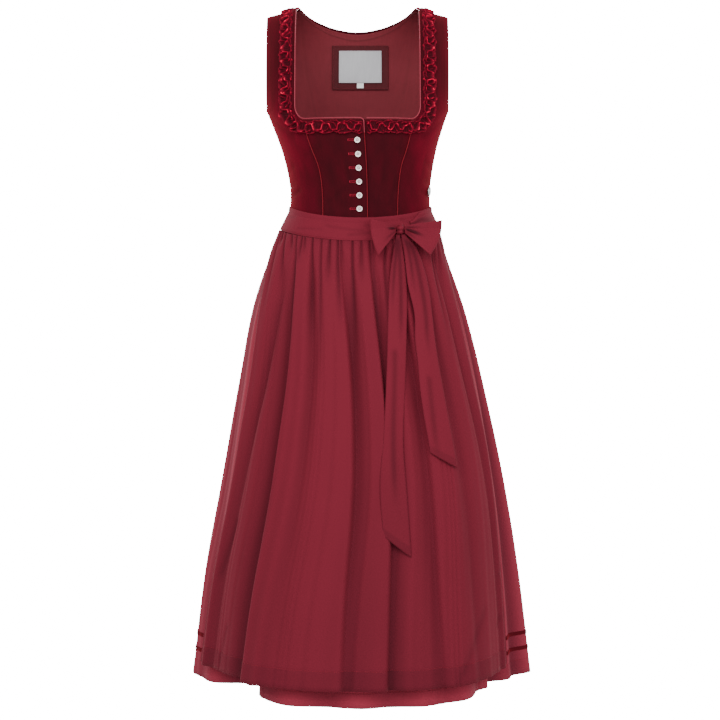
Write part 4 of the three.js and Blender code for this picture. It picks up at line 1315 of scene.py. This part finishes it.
def gather_slits(across, down_mm, count, seed):
    """Narrow slits between the gathers. Each has its own place, length and drift, and widens downward."""
    rng = np.random.default_rng(seed)
    depth = 0 * (across + down_mm)
    for number in range(count):
        place = (number + 0.5 + rng.uniform(-0.34, 0.34)) / count
        long = rng.choice((26, 40, 60, 95, 150, 230)) * rng.uniform(0.8, 1.2)
        drift = rng.uniform(-0.012, 0.012)
        deep = rng.uniform(0.6, 1.1)
        share = down_mm / long
        away = (across - place - drift * share) * (370 + 0.4 * down_mm)
        wide = 1.5 + 5.5 * share
        fade = (1 - ease(share, 0.25, 1.0)) * deep
        depth = np.maximum(depth, fade * np.exp(-(np.abs(away) / wide) ** 1.6))
    return depth


def apron_out(across, down):
    """How far the apron stands off the skirt's form, and its painted shade, 0 to 1: in folds and slits, under
    the band, and towards the hem.
    """
    low = np.maximum(down, 0)
    edge = ease(across, 0, 0.06) * ease(1 - across, 0, 0.06)
    valleys, shaded = 0 * (across + down), 0 * (across + down)
    for top, foot, right, left, depth, at_top, at_hem in apron_folds:
        line = mix(top, foot, low**0.6) + 0.004 * np.sin(6 * down + 40 * top)
        away = across - line
        sharp = 0.4 if min(right, left) < 0.019 else 0.8
        side_right = right * (sharp if right <= left else 1)
        side_left = left * (sharp if left < right else 1)
        slope = np.where(away < 0, side_right, side_left)
        share = np.where(down < 0.3, mix(at_top, 1, down / 0.3), mix(1, at_hem, (down - 0.3) / 0.7))
        profile = np.exp(-((np.abs(away) / slope) ** 1.7))
        valleys = valleys + depth * share * profile
        shaded = shaded + np.minimum(depth / 10, 1.1) * share * profile
    down_mm = low * apron_length
    stand = np.maximum(apron_stand(low), 3.2) + 3 * ease(low, 0.03, 0.3)
    valley = np.minimum(1.25 * valleys * ease(low, 0, 0.12), stand - 1.2)
    slit = gather_slits(across, down_mm, count=30, seed=12)
    puff = 1.4 * np.exp(-(((down_mm - 12) / 16) ** 2))
    soft = 0.9 * ease(low, 0.06, 0.3) * uneven(across + 0.006 * np.sin(7 * low + 1), 13, 9, 0.9)
    out = 1.2 + (stand + puff - valley - soft) * edge - slit * np.minimum(3.4, stand + puff - 1) * edge
    under_band = np.exp(-down_mm / 7)
    # painted shade in the folds and slits and under the band
    painted_fold_shade = 0.5 * shaded * ease(low, 0.02, 0.2) + 0.6 * slit + 0.12 * soft + 0.3 * under_band
    # painted shade, growing towards the hem
    return np.maximum(out, 1.0), np.clip(painted_fold_shade + 0.14 * ease(low, 0.35, 1), 0, 1)


apron_creases = [
    # across and down in mm from the apron's right top corner
    (118, 968, 176, 940, 6, 1.6),
    (150, 985, 190, 972, 5, 1.2),
    (96, 700, 112, 640, 7, 1.2),
    (52, 560, 70, 470, 8, 1.5),
    (640, 560, 690, 500, 7, 1.4),
    (655, 640, 700, 612, 6, 1.2),
    (560, 700, 590, 610, 9, 1.2),
]


def apron_cloth(across, down):
    angle = np.radians(mix(apron_right(np.maximum(down, 0)), apron_left(np.maximum(down, 0)), across))
    from_hem = (1 - down) * apron_length
    width = 370 + 390 * np.maximum(down, 0)
    from_side = np.minimum(across, 1 - across) * width
    doubled = ease(apron_hem_turned - from_hem, -0.6, 0.8)
    doubled = np.maximum(doubled, ease(side_hem - from_side, -0.8, 0.8))
    groove = 0.55 * np.exp(-(((from_hem - apron_hem_turned) / 1.2) ** 2))
    out, painted_fold_shade = apron_out(across, down)
    crease = creased(apron_creases, across * width, down * apron_length)
    fall = mix(apron_top, apron_foot, down)
    points = skirt_form(angle, fall, out + 1.2 + 0.4 * doubled - groove - crease)
    # the mark "fold": painted shade in the folds and creases
    return points, {"fold": np.clip(painted_fold_shade + crease / 6, 0, 1), "hem": doubled}


apron_downs = falls_with_hem(100, 1.3, apron_hem_turned, apron_length)
apron_columns = np.concatenate([[0, 0.004, 0.008], np.linspace(0.012, 0.988, 360), [0.992, 0.996, 1]])


def lay_crepe(node, rule, across, up, wall, **more):
    """A piece of the apron's crepe: the apron itself, its band, its ties or a part of the bow."""
    lay_cloth(node, "crepe", (rule, across, up), apron_crepe, "apron", wall, **more)


lay_crepe("apron", apron_cloth, apron_columns, apron_downs, wall=1.2)

# %% Hem stitches
across = np.linspace(0.012, 0.988, 600)
line = apron_cloth(across, np.full(600, 1 - apron_hem_turned / apron_length))[0]
turn = np.linspace(-0.25, 0.75, 1400)
skirt_line = skirt_cloth(turn, np.full(1400, 1 - hem_turned / skirt_length))[0]


def outward_of(path):
    ways = unit(np.gradient(path, axis=0))
    return unit(np.cross(ways, np.array([0.0, 0.0, 1.0])))


apron_rows = seam_of_stitches(line + outward_of(line) * 0.15, outward_of(line))
skirt_rows = seam_of_stitches(skirt_line + outward_of(skirt_line) * 0.15, outward_of(skirt_line))
stitches("apron_hem_stitches", apron_rows, thread, "apron")
stitches("skirt_hem_stitches", skirt_rows, thread, "skirt")
print("hem stitches:", len(apron_rows), "and", len(skirt_rows))

# %% [markdown]
# ## The waistband and ties
#
# The band holds the apron's gathers. It is interfaced in front, so it only buckles a little where the bow
# pulls it. The ties go on from its ends, round the back, and meet again at the bow.

# %% Band and ties
band_creases = [
    # angle in degrees and height above the band's foot in mm, from and to, width, depth
    (-52, 10, -30, 15, 2.6, 0.5),
    (-26, 22, 2, 16, 3, 0.6),
    (-8, 9, 12, 13, 3, 0.7),
    (4, 26, 18, 20, 3, 0.6),
    (-80, 20, -62, 26, 3, 0.6),
    (34, 30, 46, 18, 3, 0.7),
    (96, 12, 128, 18, 3.2, 0.8),
    (110, 26, 150, 22, 3.2, 0.7),
    (148, 10, 190, 14, 3.4, 0.8),
    (176, 27, 214, 21, 3, 0.7),
    (205, 10, 246, 17, 3.2, 0.8),
    (232, 27, 262, 20, 3, 0.6),
]
band_degree_mm, band_width = 2, 38
band_creases_mm = [
    (a * band_degree_mm, b, c * band_degree_mm, d, *form) for a, b, c, d, *form in band_creases
]


def band_point(angle, share, out):
    height = waist_at(angle) - 30 + band_width * share
    fall = (waist_at(angle) - height) / skirt_length
    away = 0.8 + ease(np.cos(angle), 0.85, 0.97) * 3.1 + out
    low = skirt_form(angle, np.maximum(fall, 0), away)
    high = on_bodice(angle, run_at(np.minimum(height, 0)), away)
    return np.where((fall >= 0)[..., None], low, high)


def band_cloth(degrees, share):
    depth = creased(band_creases_mm, degrees * band_degree_mm, share * band_width)
    groove = 0.35 * np.exp(-(((share - 0.05) / 0.02) ** 2))
    points = band_point(np.radians(degrees) + 0 * share, share + 0 * degrees, 2 - depth * 0.7 - groove)
    # painted shade in the band's creases
    return points, {"fold": np.clip(depth / 3, 0, 0.3)}


by_the_stitching = [0, 0.015, 0.03, 0.04, 0.05, 0.06, 0.08]
band_shares = np.concatenate([by_the_stitching, np.linspace(0.11, 0.97, 26), [0.985, 1]])
for node, start, end, columns in (("apron_band", -88, 82, 190), ("tie_back", 82.15, 271.85, 200)):
    lay_crepe(node, band_cloth, np.linspace(start, end, columns), band_shares, wall=1.9, roll=0.6)


def tie_over_band(u, v):
    """The tie from the back narrows to the knot, in folds that fan out of it."""
    angle = np.radians(mix(41, 80, u)) + 0 * v
    opened = ease(u, 0, 0.9)
    foot, top = mix(0.42, 0.05, opened), mix(0.66, 0.98, ease(u, 0, 0.4))
    share = mix(foot, top, v)
    pleat = 0.7 * (1 - opened) * np.sin(3 * np.pi * v + 0.4) + 0.35 * np.sin(2.2 * np.pi * v + 3 * u)
    full = 0.5 * np.sin(np.pi * v) * (1 - opened)
    points = band_point(angle, share, 3.4 + full + pleat * 0.5)
    # painted shade in the pleats, and a little over the whole tie
    return points, {"fold": np.clip(0.25 - 0.5 * pleat, 0, 1)}


places = np.linspace(0, 1, 60), np.linspace(0, 1, 30)
lay_crepe("tie_left", tie_over_band, *places, wall=1.2, side=0.0, roll=0.3)

# %% [markdown]
# ## The bow
#
# The bow is tied at the wearer's left of the front. Each loop leaves the knot in narrow pleats, opens to
# the band's full width, turns over and comes back. The tails hang over the apron's folds and are cut on the
# slant.

# %% What lies under the bow
knot_x, knot_z = 69.9, -367
knot_wide, knot_thick, knot_tall = 7, 9, 8.5


def front_at(x, z, out):
    angle = np.arcsin(np.clip(x / 160, -1, 1))
    fall = 0 * angle
    for _ in range(12):
        fall = np.clip((waist_at(angle) - z) / (waist_at(angle) - hem), 0, 1)
        angle = np.arcsin(np.clip((x - skirt_shift(fall)) / (skirt_half(fall) + out), -0.999, 0.999))
    return skirt_form(angle, fall, out + 0 * angle)[..., 1]


def over_apron(x, z, out):
    share = np.clip((waist - z) / skirt_length, 0, 1)
    apron_face = apron_stand(share) + 2 * apron_gather(share) + 1.2 + 1.6
    return front_at(x, z, np.maximum(2.8, apron_face) + out)


knot_y = float(front_at(np.float64(knot_x), np.float64(knot_z), 2.8)) - 1.5 - knot_thick
print("the knot stands at y", round(knot_y, 1), "mm")

# %% Loops
loops = [
    # name, x at the knot, end at the top, end at the foot, its bulge, how far it opens and stands off
    ("right", 62.4, (20, -350), (33, -410), -3, 7, 5),
    ("left", 77.4, (138, -352), (118, -409), 6, 8, 12),
]
loop_creases = {
    # fan of creases: place across the loop at the knot and at its end, length, depth
    "right": [(0.3, 0.2, 0.5, 1.4), (0.66, 0.8, 0.22, 5.0)],
    "left": [(0.2, 0.08, 0.3, 1.5), (0.55, 0.3, 0.42, 5.5), (0.82, 0.74, 0.4, 1.5)],
}


def bow_loop(name, root, end_top, end_foot, bulges, opens, back):
    def place(u, v):
        turn = 2 * np.pi * v
        reach = (1 - np.cos(turn)) / 2
        bulge = np.sin(turn) * np.abs(np.sin(turn / 2))
        opened = opens * bulge + 1.6 * np.cos(turn / 2)
        spread = np.maximum(reach, 0) ** 0.8
        foot_x, foot_z = mix(root, end_foot[0], spread), mix(knot_z - 6, end_foot[1], spread)
        top_x, top_z = mix(root, end_top[0], spread), mix(knot_z + 6, end_top[1], spread)
        x = mix(foot_x, top_x, u) + bulges * np.sin(np.pi * u) * spread**2
        z = mix(foot_z, top_z, u)
        at_root = over_apron(np.float64(root), np.float64(knot_z), 0) - knot_y
        standing = mix(at_root, opens + back, spread)
        fold = 0 * (u + v)
        for near, far, length, deep in loop_creases[name]:
            away = (u - mix(near, far, spread)) / mix(0.09, 0.06, spread)
            fold = fold + deep * np.exp(-away * away) * (1 - ease(spread, length * 0.5, length + 0.25))
        fold = fold * ease(spread, 0.0, 0.12)
        in_front = np.where(v < 0.5, 1.0, -1.0)
        side_x = 116  # past it the loop goes on forward instead of following the body back
        lying = over_apron(np.minimum(x, mix(side_x, x, 0.35)), np.minimum(z, knot_z + 1), 0)
        sway = 0.5 * np.sin(5 * u + 7 * reach) * reach
        y = lying - standing + opened + fold * in_front * 0.8 + sway
        # painted shade in the creases and close to the knot
        return point(x, y, z), {"fold": np.clip(fold / 4 + 0.3 * (1 - spread) ** 3, 0, 1)}

    return place


places = np.linspace(0, 1, 34), np.linspace(0, 1, 97)
for name, *form in loops:
    lay_crepe(f"bow_loop_{name}", bow_loop(name, *form), *places, wall=1.0, side=0.0)

# %% Tails
tail_top = 375.4
tails = [
    # name, how far out it hangs, how much longer its left edge is, rows of drop, right edge and left edge
    ("right", 1.2, 34, [(tail_top, 63, 69.1), (429, 54, 77), (469, 50.5, 79.5), (543, 48, 78),
                        (599, 46, 76), (694, 41, 72), (765, 35, 77.5), (846, 39.5, 84)]),
    ("left", 4, 26, [(tail_top, 70.9, 77), (400, 75, 97), (456, 81, 114), (502, 91, 120),
                     (543, 92, 124.5), (576, 95.5, 129.5), (635, 101, 141), (721, 115, 159)]),
]
tail_creases = {
    # place across (0 to 1) and drop, from and to, width in mm, depth
    "right": [(0.3, 385, 0.22, 470, 3, 1.8), (0.62, 385, 0.7, 520, 3.5, 2), (0.4, 560, 0.55, 760, 5, 1.6)],
    "left": [(0.35, 385, 0.3, 450, 3, 1.8), (0.68, 388, 0.62, 540, 4, 2), (0.45, 600, 0.3, 700, 5, 1.4)],
}


def bow_tail(name, out, tip, rows):
    from_x, to_x = curve(rows, 1), curve(rows, 2)
    top, foot = rows[0][0], rows[-1][0]

    def place(u, v):
        drop = mix(foot, top, v)
        x = mix(from_x(drop), to_x(drop), u)
        z = -drop - tip * (1 - v) ** 3 * u
        width = to_x(drop) - from_x(drop)
        fold = 0 * (u + v)
        for u0, d0, u1, d1, wide, deep in tail_creases[name]:
            near = np.clip((drop - d0) / (d1 - d0), 0, 1)
            away = (u - mix(u0, u1, near)) * width / wide
            fade = ease(drop, d0 - 8, d0 + 6) * (1 - ease(drop, d1 - 30, d1 + 40))
            fold = fold + 0.55 * deep * np.exp(-away * away) * fade
        ripple = 0.6 * np.sin(2 * np.pi * (drop - top) / 150 + 4 * u)
        bowed = 2.5 * np.sin(np.pi * u) * ease(drop, top, top + 60)
        lying = over_apron(x, z, out) - bowed + fold * 0.9 + ripple
        y = mix(knot_y - out / 4, lying, ease(drop, top, top + 36))
        side_hems = ease(2.2 - np.minimum(u, 1 - u) * width, 0, 1.2)
        doubled = np.maximum(side_hems, ease(12 - (foot - drop), 0, 1))
        shade = 0.5 * np.clip(fold, 0, 1) + 0.35 * np.exp(-(drop - top) / 40) + 0.25 * ease(drop, 600, 846)
        return point(x, y, z), {"fold": np.clip(shade, 0, 1), "hem": doubled}

    return place


places = np.linspace(0, 1, 31), np.linspace(0, 1, 130)
for name, *form in tails:
    lay_crepe(f"bow_tail_{name}", bow_tail(name, *form), *places, wall=1.0, side=0.0)


# %% Knot
def knot_wrap(turn, v):
    """A band wrapped round the pleats: its folds run round it, and it is pinched in the middle."""
    high = np.pi * (v - 0.5)
    fold = 0.06 * np.sin(3 * turn + 1.2) + 0.09 * np.sin(6 * high + 0.8 * np.sin(turn))
    radius = 1 + fold * np.cos(high)
    z = knot_tall * np.sin(high) * (1 + 0.04 * np.sin(2 * turn))
    pinch = 0.86 + 0.22 * (z / knot_tall) ** 2
    x = knot_wide * pinch * radius * np.cos(high) ** 0.8 * np.sin(turn)
    y = -knot_thick * radius * np.cos(high) ** 0.8 * np.cos(turn)
    shade = np.clip(0.12 - fold * 3, 0, 1)
    return point(knot_x + x, knot_y + y, knot_z + z + 0.8 * np.sin(turn)), {"fold": shade}


places = np.linspace(-np.pi, np.pi, 49), np.linspace(0.001, 0.999, 33)
lay_crepe("bow_knot", knot_wrap, *places, wall=0, ring=True, cap=60)

# %% [markdown]
# ## What each cloth was cut to
#
# Each sheet states the flat size it was cut to before it was sewn or gathered, as a width and a length in
# metres, with its area where the cut isn't a rectangle. Its measured area is printed beside it.

# %% Cuts of the cloth
cuts = [
    # piece, width, length, flat area, how it is held, what it is sewn to
    ("centre_front_right_velvet", 0.1, 0.18, 0.0143, "stretched", "side_front_right_velvet"),
    ("centre_front_left_velvet", 0.1, 0.18, 0.0141, "stretched", "side_front_left_velvet"),
    ("side_front_right_velvet", 0.17, 0.41, 0.0341, "stretched", "side_back_right_velvet"),
    ("side_front_left_velvet", 0.17, 0.41, 0.0339, "stretched", "side_back_left_velvet"),
    ("side_back_right_velvet", 0.17, 0.41, 0.0364, "stretched", "centre_back_velvet"),
    ("side_back_left_velvet", 0.17, 0.41, 0.0362, "stretched", "centre_back_velvet"),
    ("centre_back_velvet", 0.19, 0.39, 0.0491, "stretched", "back_lining_cloth"),
    ("back_lining_cloth", 0.47, 0.4, 0.1107, "stretched", "centre_back_velvet"),
    ("label_patch_cloth", 0.1, 0.078, None, "stretched", "back_lining_cloth"),
    ("label_cloth", 0.076, 0.057, None, "stretched", "label_patch_cloth"),
    ("neck_trim_right_ruched", 0.04, 0.45, None, "gathered", "side_front_right_velvet"),
    ("neck_trim_left_ruched", 0.04, 0.43, None, "gathered", "side_front_left_velvet"),
    ("skirt_front_crepe", 1.0, 0.8, 0.52, "gathered", "centre_front_right_velvet"),
    ("skirt_back_crepe", 1.1, 0.8, 0.57, "gathered", "centre_back_velvet"),
    ("apron_crepe", 0.8, 0.78, 0.43, "gathered", "apron_band_crepe"),
    ("apron_band_crepe", 0.375, 0.038, None, "stretched", "centre_front_right_velvet"),
    ("tie_back_crepe", 0.42, 0.038, None, "stretched", "centre_back_velvet"),
    ("tie_left_crepe", 0.09, 0.038, 0.0021, "folded", "apron_band_crepe"),
    ("bow_loop_right_crepe", 0.095, 0.05, 0.0037, "folded", "apron_band_crepe"),
    ("bow_loop_left_crepe", 0.13, 0.055, 0.0051, "folded", "apron_band_crepe"),
    ("bow_tail_right_crepe", 0.046, 0.51, 0.0164, "hung", "apron_band_crepe"),
    ("bow_tail_left_crepe", 0.044, 0.375, 0.0133, "hung", "apron_band_crepe"),
]
for name, width, length, flat_area, held, sewn_to in cuts:
    print(f"{name}: measured {cloth_area[name]:.4f} m2, cut {flat_area or width * length:.4f} m2")

# %% [markdown]
# ## Floor and light
#
# The floor is a plain pale disc some way below the hem, where a wearer would stand. Large soft lights stand
# in front and to both sides, as in a catalogue studio, and two weaker ones behind keep the back readable.

# %% Studio
floor_height, floor_radius = -1.42, 0.8
f = Finish("pale floor")
grain = f.speckle(f.solid_place(), 3, 2)
pale = f.cover(Base_Color=f.blend(dye(250, 250, 250), dye(238, 238, 238), grain), Roughness=0.9)
bm = bmesh.new()
below = Matrix.Translation((0, 0, floor_height))
bmesh.ops.create_circle(bm, cap_ends=True, segments=96, radius=floor_radius, matrix=below)
piece_from(bm, "floor", pale)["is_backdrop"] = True

lights = [
    # name, place, size, watts
    ("key", (-0.9, -2.8, 1.3), 2.0, 100),
    ("fill", (1.7, -2.8, 0.6), 2.4, 66),
    ("low", (0.2, -3.2, -1.1), 1.8, 8),
    ("back left", (1.9, 2.4, 0.8), 2.2, 60),
    ("back right", (-2.2, 2.2, 0.6), 2.2, 60),
]
for name, place, size, watts in lights:
    lamp = bpy.data.lights.new(name, "AREA")
    lamp.size, lamp.energy = size, watts
    holder = bpy.data.objects.new(name, lamp)
    scene.collection.objects.link(holder)
    holder.location = place
    holder.rotation_euler = (Vector((0, 0, -0.5)) - Vector(place)).to_track_quat("-Z", "Y").to_euler()

# The world lights the dress softly, and is a bright white backdrop where the camera sees it.
light_on_dress, backdrop = 1.15, 17
world = bpy.data.worlds.new("studio")
scene.world = world
world.use_nodes = True
nodes, links = world.node_tree.nodes, world.node_tree.links
nodes.clear()
either = nodes.new("ShaderNodeMixShader")
links.new(nodes.new("ShaderNodeLightPath").outputs["Is Camera Ray"], either.inputs[0])
for socket, strength in ((1, light_on_dress), (2, backdrop)):
    white = nodes.new("ShaderNodeBackground")
    white.inputs["Color"].default_value = (1, 1, 1, 1)
    white.inputs["Strength"].default_value = strength
    links.new(white.outputs[0], either.inputs[socket])
links.new(either.outputs[0], nodes.new("ShaderNodeOutputWorld").inputs["Surface"])
print("lights:", [row[0] for row in lights])

# %% Sizes
low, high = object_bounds()
print("visual box", [round(v, 3) for v in (*low, *high)])
